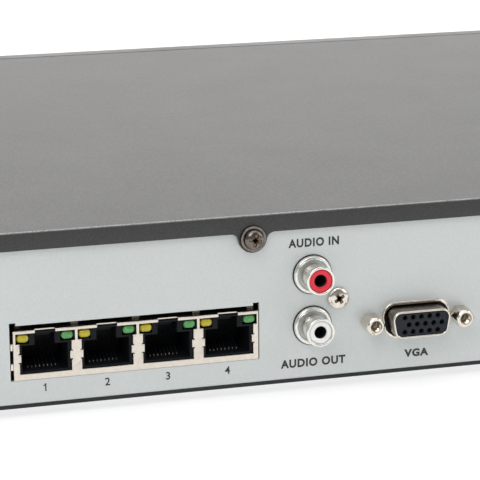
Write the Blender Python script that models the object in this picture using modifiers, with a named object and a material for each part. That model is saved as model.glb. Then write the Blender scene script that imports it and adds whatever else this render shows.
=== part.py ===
"""A compact network video recorder: two bent sheets around a drive, a main board and a fan.

Lengths are in metres. +Z is up, the front bezel faces -Y and the rear panel faces +Y. The origin is under the
middle of the case, at the bottom of the feet.
"""

from math import atan2, cos, pi, radians, sin

import bmesh
import bpy
from mathutils import Matrix, Vector

MM = 0.001

# Driving dimensions
WIDTH = 325 * MM
COVER_DEPTH = 259 * MM
BEZEL_DEPTH = 9 * MM
CASE_HEIGHT = 45.4 * MM
FOOT_HEIGHT = 3.4 * MM
SHEET = 1.0 * MM
GAP = 0.3 * MM
JACK_REACH = 7.6 * MM

# Places that follow from them
TOTAL_DEPTH = COVER_DEPTH + BEZEL_DEPTH - SHEET - GAP + JACK_REACH
REAR_Y = TOTAL_DEPTH / 2 - JACK_REACH
FRONT_Y = -TOTAL_DEPTH / 2
BEZEL_BACK = FRONT_Y + BEZEL_DEPTH
COVER_TOP = FOOT_HEIGHT + CASE_HEIGHT
FLOOR_TOP = FOOT_HEIGHT + SHEET
CHASSIS_SIDE = WIDTH / 2 - SHEET - GAP
WALL_INSIDE = REAR_Y - SHEET
PANEL_LEFT = 18.6 * MM
SIDE_LIP = 12 * MM

# Rear panel, in its own frame: x to the right as seen from behind, y up from its lower edge, z outwards
PORT_PITCH = 15.99 * MM
PORT_WIDTH = 12.97 * MM
PORT_FLOOR = 8.25 * MM
BLOCK_EDGE = 1.69 * MM
BLOCK_LOW = 6.49 * MM
BLOCK_HIGH = 19.47 * MM
BLOCK_DEPTH = 20 * MM
LAMP_OFFSET = 5.72 * MM
LAMP_HEIGHT = 17.25 * MM
LAN_X = 177.4 * MM
SCREW_X = 62.7 * MM
SCREW_Y = 39.13 * MM
FLANGE = 4.81 * MM
TAB_RADIUS = 3.7 * MM
TAB_FILLET = 2.0 * MM
AUDIO_X = 79.03 * MM
AUDIO_OUT_Y = 14.24 * MM
AUDIO_IN_Y = 28.03 * MM
AUDIO_SCREW = (86.1 * MM, 21.1 * MM)
VIDEO_X = 107.48 * MM
VIDEO_Y = 13.75 * MM
JACKSCREW_PITCH = 25.0 * MM
DIGITAL_X = 138.4 * MM
USB_X = 161.4 * MM
SMALL_PORT_Y = 9.7 * MM
GROUND_X = 213.4 * MM
DC_X = 251.4 * MM
DC_Y = 12.7 * MM
SWITCH_X = 279.4 * MM
SWITCH_Y = 21 * MM
ROCKER_TILT = radians(9)

# Inside
BOARD_LOW = FLOOR_TOP + 3.6 * MM
BOARD_THICK = 1.6 * MM
DRIVE_LOW = Vector((-60, -112, 8.4)) * MM
DRIVE_SIZE = Vector((147, 101.6, 23.1)) * MM
DRIVE_WALL = 3 * MM
SPINDLE = Vector((-9, -61.2, 11.8)) * MM
PLATTER_RADIUS = 47 * MM
PIVOT = Vector((46, -88, 11.8)) * MM
ARM_LENGTH = 52 * MM
ARM_ANGLE = radians(104)
FAN_CENTRE = Vector((-154.5, -45, 25)) * MM
FAN_SIDE = 40 * MM
FAN_DEPTH = 10 * MM
FRONT_USB_X = 110 * MM
FRONT_USB_Y = 17.4 * MM

# Base colour, roughness and metallic value of each finish
FINISHES = {
    "cover_paint": ((0.26, 0.26, 0.25), 0.5, 0.3),
    "panel_zinc": ((0.58, 0.62, 0.61), 0.4, 0.6),
    "black_plastic": ((0.02, 0.02, 0.022), 0.45, 0.0),
    "window_acrylic": ((0.01, 0.01, 0.012), 0.08, 0.0),
    "foot_rubber": ((0.02, 0.02, 0.02), 0.8, 0.0),
    "nickel": ((0.75, 0.72, 0.68), 0.25, 1.0),
    "bronze_nickel": ((0.30, 0.26, 0.21), 0.3, 1.0),
    "tin_plate": ((0.80, 0.74, 0.66), 0.3, 1.0),
    "yellow_lens": ((0.55, 0.45, 0.04), 0.3, 0.0),
    "green_lens": ((0.13, 0.42, 0.14), 0.3, 0.0),
    "red_insulator": ((0.75, 0.03, 0.05), 0.4, 0.0),
    "white_insulator": ((0.85, 0.85, 0.83), 0.4, 0.0),
    "dark_insert": ((0.03, 0.035, 0.045), 0.5, 0.0),
    "board_green": ((0.02, 0.13, 0.05), 0.4, 0.0),
    "aluminium": ((0.72, 0.73, 0.74), 0.35, 1.0),
    "platter_mirror": ((0.85, 0.85, 0.86), 0.05, 1.0),
    "cable_red": ((0.5, 0.02, 0.02), 0.5, 0.0),
    "cable_black": ((0.02, 0.02, 0.02), 0.5, 0.0),
}

FACING_BACK = (pi / 2, 0, pi)
FACING_FRONT = (pi / 2, 0, 0)
ALONG_X = (pi / 2, 0, pi / 2)


def clear_scene():
    """Remove every object, so that only the recorder is left."""
    for obj in list(bpy.data.objects):
        bpy.data.objects.remove(obj, do_unlink=True)


def new_collection(name):
    """Add a collection to the scene."""
    collection = bpy.data.collections.new(name)
    bpy.context.scene.collection.children.link(collection)
    return collection


def finish_material(name):
    """Return the named finish as a Principled material, made once."""
    if name in bpy.data.materials:
        return bpy.data.materials[name]
    colour, roughness, metallic = FINISHES[name]
    made = bpy.data.materials.new(name)
    made.use_nodes = True
    shader = made.node_tree.nodes["Principled BSDF"]
    shader.inputs["Base Color"].default_value = (*colour, 1)
    shader.inputs["Roughness"].default_value = roughness
    shader.inputs["Metallic"].default_value = metallic
    return made


def frame_empty(name, place, rotation):
    """Add an empty that carries the pieces of one face of the case."""
    empty = bpy.data.objects.new(name, None)
    empty.location = place
    empty.rotation_euler = rotation
    recorder.objects.link(empty)
    return empty


def add_object(name, mesh, place, finish, parent):
    """Add a mesh as a part of the recorder or, with no finish, as a cutter."""
    obj = bpy.data.objects.new(name, mesh)
    obj.location = place
    obj.parent = parent
    if finish is None:
        cutters.objects.link(obj)
        obj.hide_render = True
        obj.display_type = "WIRE"
    else:
        recorder.objects.link(obj)
        mesh.materials.append(finish_material(finish))
    return obj


def box(name, low, high, finish=None, parent=None):
    """Add a box between two corners, with its origin in the middle."""
    low, high = Vector(low), Vector(high)
    cage = bmesh.new()
    bmesh.ops.create_cube(cage, size=1)
    bmesh.ops.scale(cage, vec=high - low, verts=cage.verts)
    mesh = bpy.data.meshes.new(name)
    cage.to_mesh(mesh)
    cage.free()
    return add_object(name, mesh, (low + high) / 2, finish, parent)


def rod(name, centre, radius, length, rotation=(0, 0, 0), finish=None, parent=None, sides=24):
    """Add a cylinder with its axis along its own Z and its origin in the middle."""
    cage = bmesh.new()
    bmesh.ops.create_cone(
        cage, cap_ends=True, segments=sides, radius1=radius, radius2=radius, depth=length
    )
    mesh = bpy.data.meshes.new(name)
    cage.to_mesh(mesh)
    cage.free()
    mesh.shade_smooth()
    mesh.set_sharp_from_angle(angle=radians(40))
    obj = add_object(name, mesh, centre, finish, parent)
    obj.rotation_euler = rotation
    return obj


def turned(name, profile, place, finish, parent=None, sides=24):
    """Turn a profile of (radius, height) pairs, listed from its lower to its upper end, about its own Z."""
    mesh = bpy.data.meshes.new(name)
    cage = bmesh.new()
    points = [cage.verts.new((radius, 0, height)) for radius, height in reversed(profile)]
    for upper, lower in zip(points, points[1:]):
        cage.edges.new((upper, lower))
    if profile[0][0] > 0:
        cage.edges.new((points[-1], points[0]))
    cage.to_mesh(mesh)
    cage.free()
    obj = add_object(name, mesh, place, finish, parent)
    screw = obj.modifiers.new("turn", "SCREW")
    screw.steps = screw.render_steps = sides
    screw.use_merge_vertices = True
    screw.merge_threshold = 0.00001
    screw.use_smooth_shade = True
    return obj


def mesh_of_curve(name, curve):
    """Return a curve's surface as a mesh with its caps welded to its sides."""
    holder = bpy.data.objects.new(name + ".curve", curve)
    recorder.objects.link(holder)
    evaluated = holder.evaluated_get(bpy.context.evaluated_depsgraph_get())
    mesh = bpy.data.meshes.new_from_object(evaluated)
    mesh.name = name
    bpy.data.objects.remove(holder, do_unlink=True)
    cage = bmesh.new()
    cage.from_mesh(mesh)
    bmesh.ops.remove_doubles(cage, verts=cage.verts, dist=0.000001)
    bmesh.ops.recalc_face_normals(cage, faces=cage.faces)
    cage.to_mesh(mesh)
    cage.free()
    mesh.materials.clear()
    return mesh


def plate(name, outlines, low, high, finish=None, parent=None, place=(0, 0, 0)):
    """Extrude flat outlines between two heights. A second outline inside the first is a hole."""
    curve = bpy.data.curves.new(name, "CURVE")
    curve.dimensions = "2D"
    curve.fill_mode = "BOTH"
    curve.extrude = (high - low) / 2
    for outline in outlines:
        spline = curve.splines.new("POLY")
        spline.points.add(len(outline) - 1)
        for point, (x, y) in zip(spline.points, outline):
            point.co = (x, y, 0, 1)
        spline.use_cyclic_u = True
    mesh = mesh_of_curve(name, curve)
    mesh.transform(Matrix.Translation((0, 0, (low + high) / 2)))
    return add_object(name, mesh, place, finish, parent)


def boolean(target, operation, others):
    """Cut pieces from the target or join them to it, one Boolean each."""
    for other in others:
        modifier = target.modifiers.new(other.name, "BOOLEAN")
        modifier.operation = operation
        modifier.object = other
    return target


def cut(target, *others):
    """Cut each of the others from the target."""
    return boolean(target, "DIFFERENCE", others)


def join(target, *others):
    """Join each of the others to the target."""
    return boolean(target, "UNION", others)


def bevel(target, width, segments=2):
    """Round every edge of the target that its own mesh holds."""
    modifier = target.modifiers.new("round", "BEVEL")
    modifier.width = width
    modifier.segments = segments
    modifier.limit_method = "ANGLE"
    return target


def mirrored(half):
    """Complete an outline from its right half, listed from the lowest point to the highest."""
    return half + [(-x, y) for x, y in reversed(half) if x > 0]


def rounded(corners, radius, steps=3):
    """Round each corner of a convex outline."""
    outline = []
    for index, corner in enumerate(corners):
        here = Vector(corner)
        before = (Vector(corners[index - 1]) - here).normalized()
        after = (Vector(corners[(index + 1) % len(corners)]) - here).normalized()
        half_angle = before.angle(after) / 2
        centre = here + (before + after).normalized() * (radius / sin(half_angle))
        start = here + before * (radius * cos(half_angle) / sin(half_angle)) - centre
        turn = start.angle_signed(here + after * (radius * cos(half_angle) / sin(half_angle)) - centre)
        for step in range(steps + 1):
            angle = -turn * step / steps
            spoke = Matrix.Rotation(angle, 2) @ start
            outline.append(tuple(centre + spoke))
    return outline


def d_outline(centre, width, height, radius):
    """Return a D-shaped connector outline, wider at the top, with round corners."""
    x, y = centre
    slope = height * 0.176
    low = y - height / 2
    high = y + height / 2
    corners = [
        (x - width / 2 + slope, low),
        (x + width / 2 - slope, low),
        (x + width / 2, high),
        (x - width / 2, high),
    ]
    return rounded(corners, radius)


def rectangle(centre, width, height):
    """Return a rectangle's outline about its centre."""
    x, y = centre
    half, rise = width / 2, height / 2
    return [(x - half, y - rise), (x + half, y - rise), (x + half, y + rise), (x - half, y + rise)]


def shifted(outline, x):
    """Move an outline along x."""
    return [(x + across, up) for across, up in outline]


def port_outline():
    """Return the shield's opening for one network port, about the port's own middle."""
    half = PORT_WIDTH / 2
    low = PORT_FLOOR
    return mirrored([
        (half, low),
        (half, low + 3.1 * MM),
        (half - 0.5 * MM, low + 3.1 * MM),
        (half - 0.5 * MM, low + 5.3 * MM),
        (half, low + 5.3 * MM),
        (half, low + 7.6 * MM),
        (half + 0.75 * MM, low + 7.6 * MM),
        (half + 0.75 * MM, low + 10.35 * MM),
        (2.55 * MM, low + 10.35 * MM),
        (2.55 * MM, BLOCK_HIGH + MM),
    ])


def plug_outline():
    """Return the cavity that takes one network plug and its latch, about the port's own middle."""
    return mirrored([
        (5.9 * MM, PORT_FLOOR + 0.3 * MM),
        (5.9 * MM, PORT_FLOOR + 7.2 * MM),
        (2.6 * MM, PORT_FLOOR + 7.2 * MM),
        (2.6 * MM, PORT_FLOOR + 10.2 * MM),
    ])


def jack_block(prefix, left, ports):
    """Make a row of network jacks: a plated shield around a black housing."""
    width = ports * PORT_PITCH + 0.34 * MM
    right = left + width
    wall = 0.3 * MM
    shield = box(
        prefix + "_shield",
        (left, BLOCK_LOW, -BLOCK_DEPTH),
        (right, BLOCK_HIGH, 0.2 * MM),
        "tin_plate",
        rear,
    )
    hollow = box(
        prefix + ".hollow",
        (left + wall, BLOCK_LOW + wall, -BLOCK_DEPTH - MM),
        (right - wall, BLOCK_HIGH - wall, -0.1 * MM),
        parent=rear,
    )
    housing = box(
        prefix + "_housing",
        (left + wall + GAP, BLOCK_LOW + wall + GAP, -BLOCK_DEPTH + 0.5 * MM),
        (right - wall - GAP, BLOCK_HIGH - wall - GAP, -0.4 * MM),
        "black_plastic",
        rear,
    )
    cut(shield, hollow)
    for number in range(ports):
        middle = left + BLOCK_EDGE + PORT_WIDTH / 2 + number * PORT_PITCH
        name = f"{prefix}.{number + 1}"
        face = shifted(port_outline(), middle)
        plug = shifted(plug_outline(), middle)
        cut(shield, plate(name + ".face", [face], -1.2 * MM, MM, parent=rear))
        cut(housing, plate(name + ".plug", [plug], -13 * MM, MM, parent=rear))
        for side, word in ((-1, "left"), (1, "right")):
            across = middle + side * LAMP_OFFSET
            pocket = rectangle((across, LAMP_HEIGHT), 3.4 * MM, 2.7 * MM)
            cut(housing, plate(f"{name}.lamp_{word}", [pocket], -7 * MM, MM, parent=rear))


def lamps():
    """Make the two small lenses above each of the four ports."""
    for number in range(4):
        middle = BLOCK_EDGE + PORT_WIDTH / 2 + number * PORT_PITCH
        kinds = ((-1, "link_lamp", "yellow_lens"), (1, "activity_lamp", "green_lens"))
        for side, name, finish in kinds:
            centre = Vector((middle + side * LAMP_OFFSET, LAMP_HEIGHT, -3.4 * MM))
            half = Vector((1.4, 1.05, 3.2)) * MM
            lens = box(f"{name}_{number + 1}", centre - half, centre + half, finish, rear)
            bevel(lens, 0.5 * MM)


def cover_cut_outline():
    """Return what is cut from the cover's rear wall: all below the flange but the two screw tabs."""
    left = SHEET - PANEL_LEFT
    right = WIDTH - SHEET - PANEL_LEFT
    flange = CASE_HEIGHT - FLANGE
    outline = [(left, -5 * MM), (right, -5 * MM), (right, flange)]
    for x in (cover_screw_xs()[1], cover_screw_xs()[0]):
        outline += tab_edge(x, flange)
    outline.append((left, flange))
    return outline


def tab_edge(x, flange):
    """Return a screw tab's edge from right to left: a fillet, a round end and a fillet."""
    rise = SCREW_Y - (flange - TAB_FILLET)
    across = ((TAB_RADIUS + TAB_FILLET) ** 2 - rise**2) ** 0.5
    meet = atan2(-rise, across)
    edge = []
    for step in range(4):
        angle = pi / 2 + (pi / 2 + meet) * step / 3
        edge.append((x + across + TAB_FILLET * cos(angle), flange - TAB_FILLET + TAB_FILLET * sin(angle)))
    for step in range(1, 8):
        angle = meet - (pi + 2 * meet) * step / 8
        edge.append((x + TAB_RADIUS * cos(angle), SCREW_Y + TAB_RADIUS * sin(angle)))
    for step in range(4):
        angle = (pi / 2 + meet) * step / 3 - meet
        edge.append((x - across + TAB_FILLET * cos(angle), flange - TAB_FILLET + TAB_FILLET * sin(angle)))
    return edge


def cover_screw_xs():
    """Return where the two rear cover screws stand, the same distance from either side."""
    return SCREW_X, WIDTH - SCREW_X - 2 * PANEL_LEFT


def bolt(name, place, rotation, finish, head, washer=0.0, shank=6 * MM, parent=None):
    """Make a screw with a domed head, an optional washer under it and a plain shank."""
    rim = 0.5 * MM if washer else 0
    profile = [(0, -shank), (1.3 * MM, -shank), (1.3 * MM, GAP)]
    if washer:
        profile += [(washer, GAP), (washer, GAP + rim)]
    profile += [
        (head, GAP + rim),
        (head, GAP + rim + 0.45 * head),
        (0.7 * head, GAP + rim + 0.75 * head),
        (0, GAP + rim + 0.82 * head),
    ]
    screw = turned(name, profile, place, finish, parent, 16)
    screw.rotation_euler = rotation
    return screw


def screws():
    """Make the case screws and return the clearance holes of those that pass through the cover."""
    holes = []
    for number, x in enumerate(cover_screw_xs(), 1):
        bolt(
            f"cover_screw_rear_{number}",
            (x, SCREW_Y, SHEET + GAP),
            (0, 0, 0),
            "bronze_nickel",
            2.6 * MM,
            3.4 * MM,
            parent=rear,
        )
        centre = (x, SCREW_Y, 0)
        holes.append(rod(f"cover_hole_rear_{number}", centre, 1.7 * MM, 6 * MM, parent=rear))
    for number, y in enumerate((-90 * MM, 90 * MM), 1):
        height = FOOT_HEIGHT + 7 * MM
        for side, word in ((-1, "left"), (1, "right")):
            bolt(
                f"cover_screw_{word}_{number}",
                (side * WIDTH / 2, y, height),
                (0, side * pi / 2, 0),
                "bronze_nickel",
                2.6 * MM,
            )
        across = (0, pi / 2, 0)
        holes.append(rod(f"cover_hole_{number}", (0, y, height), 1.7 * MM, 2 * WIDTH, across))
    bolt("audio_panel_screw", (*AUDIO_SCREW, 0), (0, 0, 0), "nickel", 2.85 * MM, parent=rear)
    bolt("ground_screw", (GROUND_X, DC_Y, 0), (0, 0, 0), "nickel", 2.85 * MM, parent=rear)
    return holes


def chassis(shared_holes):
    """Make the lower sheet: floor, rear panel, front wall, two low side lips and the bosses on the floor."""
    front = BEZEL_BACK + GAP
    high = COVER_TOP - SHEET - GAP
    tray = box(
        "base_chassis",
        (-CHASSIS_SIDE, front, FOOT_HEIGHT),
        (CHASSIS_SIDE, REAR_Y, high),
        "panel_zinc",
    )
    inside = CHASSIS_SIDE - SHEET
    cut(
        tray,
        box("chassis.hollow", (-inside, front + SHEET, FLOOR_TOP), (inside, WALL_INSIDE, 60 * MM)),
        box(
            "chassis.sides",
            (-WIDTH, front + SHEET, FOOT_HEIGHT + SIDE_LIP),
            (WIDTH, WALL_INSIDE, 61 * MM),
        ),
    )
    cut(tray, *panel_openings(), *shared_holes)
    usb_hole = rectangle((FRONT_USB_X, FRONT_USB_Y), 14 * MM, 6.6 * MM)
    cut(tray, plate("chassis.usb", [usb_hole], -12 * MM, -8 * MM, parent=front_frame))
    join(tray, *bosses())


def bosses():
    """Make the floor's bosses: four under the drive and four under the main board."""
    made = []
    drive_high = DRIVE_LOW + DRIVE_SIZE
    for x in (DRIVE_LOW.x + 8 * MM, drive_high.x - 8 * MM):
        for y in (DRIVE_LOW.y + 8 * MM, drive_high.y - 8 * MM):
            made.append((x, y, 4 * MM, DRIVE_LOW.z - GAP))
    for x in (-114 * MM, 140 * MM):
        for y in (38 * MM, 98 * MM):
            made.append((x, y, 3 * MM, BOARD_LOW - GAP))
    pillars = []
    for number, (x, y, radius, top) in enumerate(made):
        low = FOOT_HEIGHT + SHEET / 2
        centre = (x, y, (low + top) / 2)
        pillars.append(rod(f"boss.{number}", centre, radius, top - low, sides=12))
    return pillars


def panel_openings():
    """Make the cutters for everything that shows through the rear panel."""
    right = 4 * PORT_PITCH + 0.34 * MM
    notch = 1.65 * MM
    low, top = BLOCK_LOW - 0.1 * MM, 20.9 * MM
    window = [
        (-0.85 * MM, low),
        (right + 0.3 * MM, low),
        (right + 0.3 * MM, top + 0.75 * MM),
        (right + 0.3 * MM - notch, top + 0.75 * MM),
        (right + 0.3 * MM - notch, top),
        (notch - 0.85 * MM, top),
        (notch - 0.85 * MM, top + 0.75 * MM),
        (-0.85 * MM, top + 0.75 * MM),
    ]
    lan_middle = LAN_X + PORT_PITCH / 2 + 0.17 * MM
    lan = rectangle((lan_middle, (BLOCK_LOW + BLOCK_HIGH) / 2), PORT_PITCH + 1.2 * MM, 14.2 * MM)
    video = d_outline((VIDEO_X, VIDEO_Y), 19.6 * MM, 11.7 * MM, 2.6 * MM)
    outlines = {
        "window": window,
        "lan": lan,
        "video": video,
        "digital": rectangle((DIGITAL_X, SMALL_PORT_Y), 15.8 * MM, 6.3 * MM),
        "usb": rectangle((USB_X, SMALL_PORT_Y), 14 * MM, 6.5 * MM),
        "switch": rectangle((SWITCH_X, SWITCH_Y), 13.6 * MM, 19.6 * MM),
    }
    made = [
        plate("panel." + name, [outline], -3 * MM, MM, parent=rear) for name, outline in outlines.items()
    ]
    rounds = [
        (AUDIO_X, AUDIO_IN_Y, 4.5 * MM),
        (AUDIO_X, AUDIO_OUT_Y, 4.5 * MM),
        (*AUDIO_SCREW, 1.7 * MM),
        (VIDEO_X - JACKSCREW_PITCH / 2, VIDEO_Y, 1.8 * MM),
        (VIDEO_X + JACKSCREW_PITCH / 2, VIDEO_Y, 1.8 * MM),
        (GROUND_X, DC_Y, 1.7 * MM),
        (DC_X, DC_Y, 4.4 * MM),
    ]
    for number, (x, y, radius) in enumerate(rounds):
        made.append(rod(f"panel.hole{number}", (x, y, 0), radius, 6 * MM, parent=rear))
    return made


def cover(shared_holes):
    """Make the upper sheet: top, sides and the rear flange with its screw tabs."""
    back = REAR_Y + GAP + SHEET
    shell = box(
        "top_cover",
        (-WIDTH / 2, BEZEL_BACK + GAP, FOOT_HEIGHT + GAP),
        (WIDTH / 2, back, COVER_TOP),
        "cover_paint",
    )
    round_top_edges(shell.data, 1.2 * MM)
    inner = WIDTH / 2 - SHEET
    cut(
        shell,
        box("cover.hollow", (-inner, -WIDTH, 0), (inner, back - SHEET, COVER_TOP - SHEET)),
        plate("cover.rear", [cover_cut_outline()], 0, 3 * MM, parent=rear),
        *shared_holes,
    )
    for start in (FAN_CENTRE.y, 60 * MM):
        for number in range(9):
            y = start + (number - 4) * 4.6 * MM
            low = (-WIDTH, y - 1.1 * MM, 18 * MM)
            high = (WIDTH, y + 1.1 * MM, 40 * MM)
            cut(shell, box(f"vent.{start * 1000:.0f}.{number}", low, high))


def round_top_edges(mesh, radius):
    """Round the top edges of a box at its sides and its back."""
    cage = bmesh.new()
    cage.from_mesh(mesh)
    top = max(vert.co.z for vert in cage.verts)
    front = min(vert.co.y for vert in cage.verts)
    edges = []
    for edge in cage.edges:
        if all(vert.co.z == top for vert in edge.verts) and any(vert.co.y > front for vert in edge.verts):
            edges.append(edge)
    bmesh.ops.bevel(cage, geom=edges, offset=radius, segments=3, profile=0.5, affect="EDGES")
    cage.to_mesh(mesh)
    cage.free()


def front():
    """Make the bezel, its window, the front USB socket and the small board behind it."""
    frame = box(
        "front_bezel",
        (-WIDTH / 2, FRONT_Y, FOOT_HEIGHT + GAP),
        (WIDTH / 2, BEZEL_BACK, COVER_TOP),
        "black_plastic",
    )
    bevel(frame, 1.5 * MM, 3)
    window = rectangle((-70 * MM, 26 * MM), 130 * MM, 14 * MM)
    recess = rectangle((-70 * MM, 26 * MM), 130.6 * MM, 14.6 * MM)
    usb_hole = rectangle((FRONT_USB_X, FRONT_USB_Y), 14 * MM, 6.6 * MM)
    cut(
        frame,
        plate("bezel.recess", [recess], -2.5 * MM, MM, parent=front_frame),
        plate("bezel.usb", [usb_hole], -12 * MM, MM, parent=front_frame),
    )
    plate("front_window", [window], -2.2 * MM, -0.2 * MM, "window_acrylic", front_frame)
    usb_socket("usb_front", (FRONT_USB_X, FRONT_USB_Y), -0.8 * MM, front_frame)
    box(
        "front_board",
        (FRONT_USB_X - 22 * MM, FRONT_USB_Y - 4.8 * MM, -32 * MM),
        (FRONT_USB_X + 22 * MM, FRONT_USB_Y - 3.2 * MM, -11 * MM),
        "board_green",
        front_frame,
    )


def usb_socket(name, centre, face, parent):
    """Make a USB socket: a folded shell around a contact tongue."""
    outer = rectangle(centre, 13.2 * MM, 5.8 * MM)
    inner = rectangle(centre, 12.5 * MM, 5.1 * MM)
    plate(name + "_shell", [outer, inner], face - 14 * MM, face, "nickel", parent)
    x, y = centre
    tongue = rectangle((x, y + 1.2 * MM), 11.2 * MM, 1.9 * MM)
    plate(name + "_tongue", [tongue], face - 13.5 * MM, face - MM, "white_insulator", parent)


def feet():
    """Make the four rubber feet."""
    profile = [(0, 0), (7 * MM, 0), (8 * MM, 0.8 * MM), (8 * MM, FOOT_HEIGHT - GAP), (0, FOOT_HEIGHT - GAP)]
    for x, word in ((-WIDTH / 2 + 25 * MM, "left"), (WIDTH / 2 - 25 * MM, "right")):
        for y, end in ((BEZEL_BACK + 25 * MM, "front"), (REAR_Y - 25 * MM, "rear")):
            turned(f"foot_{end}_{word}", profile, (x, y, 0), "foot_rubber")


def audio_jacks():
    """Make the two audio jacks: plated shells, coloured insulators and the body they share."""
    sleeve = [
        (3.4 * MM, -SHEET),
        (4.1 * MM, -SHEET),
        (4.1 * MM, GAP),
        (5.4 * MM, GAP),
        (5.4 * MM, 0.9 * MM),
        (4.8 * MM, 1.3 * MM),
        (4.1 * MM, 1.3 * MM),
        (4.1 * MM, JACK_REACH - 0.4 * MM),
        (3.8 * MM, JACK_REACH),
        (3.4 * MM, JACK_REACH),
    ]
    insulator = [
        (0, -SHEET),
        (3.1 * MM, -SHEET),
        (3.1 * MM, JACK_REACH - 0.4 * MM),
        (1.65 * MM, JACK_REACH - 0.4 * MM),
        (1.65 * MM, 0.2 * MM),
        (0, 0.2 * MM),
    ]
    for word, y, finish in (
        ("in", AUDIO_IN_Y, "red_insulator"),
        ("out", AUDIO_OUT_Y, "white_insulator"),
    ):
        turned(f"audio_{word}_shell", sleeve, (AUDIO_X, y, 0), "nickel", rear)
        turned(f"audio_{word}_insulator", insulator, (AUDIO_X, y, 0), finish, rear)
    body = box(
        "audio_jack_body",
        (AUDIO_X - 5 * MM, BLOCK_LOW, -13.3 * MM),
        (AUDIO_X + 9.6 * MM, 34.5 * MM, -SHEET - GAP),
        "black_plastic",
        rear,
    )
    cut(body, rod("audio.screw", (*AUDIO_SCREW, -4 * MM), 1.7 * MM, 9 * MM, parent=rear))


def video_socket():
    """Make the 15-way video socket: a D-shaped shell on a flange, its insert and two jackscrews."""
    centre = (VIDEO_X, VIDEO_Y)
    bore = d_outline(centre, 15.6 * MM, 7.3 * MM, 1.9 * MM)
    flange = rectangle(centre, 31 * MM, 12.6 * MM)
    root = d_outline(centre, 18.6 * MM, 10.6 * MM, 2.4 * MM)
    nose = d_outline(centre, 16.5 * MM, 8.1 * MM, 2.2 * MM)
    shell = plate("video_shell", [flange, bore], -2.1 * MM, -SHEET - GAP, "nickel", rear)
    join(
        shell,
        plate("video.root", [root, bore], -1.6 * MM, 0.5 * MM, parent=rear),
        plate("video.nose", [nose, bore], -1.5 * MM, 5.8 * MM, parent=rear),
    )
    insert = plate(
        "video_insert",
        [d_outline(centre, 14.9 * MM, 6.6 * MM, 1.7 * MM)],
        -3 * MM,
        5.3 * MM,
        "dark_insert",
        rear,
    )
    block = [rectangle(centre, 28 * MM, 12 * MM)]
    join(insert, plate("video.block", block, -12 * MM, -2.5 * MM, parent=rear))
    for side, word in ((-1, "left"), (1, "right")):
        place = (VIDEO_X + side * JACKSCREW_PITCH / 2, VIDEO_Y, 0)
        hole = (place[0], place[1], -2 * MM)
        cut(shell, rod(f"video.hole_{word}", hole, 1.8 * MM, 5 * MM, parent=rear))
        cut(insert, rod(f"video.socket_{word}", (*place[:2], -3 * MM), 1.8 * MM, 9 * MM, parent=rear))
        nut = rod(
            f"video_jackscrew_{word}",
            (*place[:2], 2.75 * MM),
            2.7 * MM,
            4.9 * MM,
            finish="nickel",
            parent=rear,
            sides=6,
        )
        join(nut, rod(f"jackscrew.stud_{word}", (*place[:2], -2.5 * MM), 1.4 * MM, 7 * MM, parent=rear))
        bore_centre = (*place[:2], 4.2 * MM)
        cut(nut, rod(f"jackscrew.bore_{word}", bore_centre, 1.4 * MM, 5 * MM, parent=rear))


def small_sockets():
    """Make the digital video socket, the rear USB socket and the DC socket."""
    x, y = DIGITAL_X, SMALL_PORT_Y
    half = [(5 * MM, y - 2.8 * MM), (7.5 * MM, y - 0.8 * MM), (7.5 * MM, y + 2.8 * MM)]
    inner = [(4.8 * MM, y - 2.4 * MM), (7.1 * MM, y - 0.6 * MM), (7.1 * MM, y + 2.4 * MM)]
    outlines = [shifted(mirrored(half), x), shifted(mirrored(inner), x)]
    plate("digital_video_shell", outlines, -11 * MM, 0.5 * MM, "nickel", rear)
    tongue = [rectangle((x, y + 0.4 * MM), 11.2 * MM, 1.0 * MM)]
    plate("digital_video_tongue", tongue, -10.5 * MM, -MM, "dark_insert", rear)
    usb_socket("usb_rear", (USB_X, y), 0.4 * MM, rear)
    body = box(
        "dc_socket",
        (DC_X - 4.75 * MM, BLOCK_LOW, -14 * MM),
        (DC_X + 4.75 * MM, BLOCK_LOW + 11.5 * MM, -SHEET - GAP),
        "black_plastic",
        rear,
    )
    join(body, rod("dc.nose", (DC_X, DC_Y, -0.75 * MM), 3.9 * MM, 2.5 * MM, parent=rear))
    cut(body, rod("dc.bore", (DC_X, DC_Y, -4 * MM), 3.1 * MM, 11 * MM, parent=rear))
    rod("dc_pin", (DC_X, DC_Y, -5.1 * MM), 1.0 * MM, 8 * MM, finish="nickel", parent=rear, sides=16)


def power_switch():
    """Make the power switch: a frame snapped into the panel and a rocker on a pivot across it."""
    centre = (SWITCH_X, SWITCH_Y)
    frame = plate(
        "power_switch_frame",
        [rectangle(centre, 15.6 * MM, 22 * MM)],
        GAP,
        2.1 * MM,
        "black_plastic",
        rear,
    )
    body = [rectangle(centre, 13 * MM, 19 * MM)]
    join(frame, plate("switch.body", body, -14 * MM, MM, parent=rear))
    pocket = [rectangle(centre, 11.4 * MM, 17.6 * MM)]
    cut(frame, plate("switch.pocket", pocket, -10 * MM, 4 * MM, parent=rear))
    half = [(3 * MM, -2.5 * MM), (7.6 * MM, 2.2 * MM), (7.6 * MM, 5.6 * MM), (0, 4.3 * MM)]
    tilted = []
    for up, out in mirrored(half):
        tilted.append((
            up * cos(ROCKER_TILT) - out * sin(ROCKER_TILT),
            up * sin(ROCKER_TILT) + out * cos(ROCKER_TILT),
        ))
    rocker = plate(
        "power_rocker",
        [tilted],
        -5.4 * MM,
        5.4 * MM,
        "black_plastic",
        rear,
        (SWITCH_X, SWITCH_Y, -2.5 * MM),
    )
    rocker.rotation_euler = ALONG_X


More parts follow.
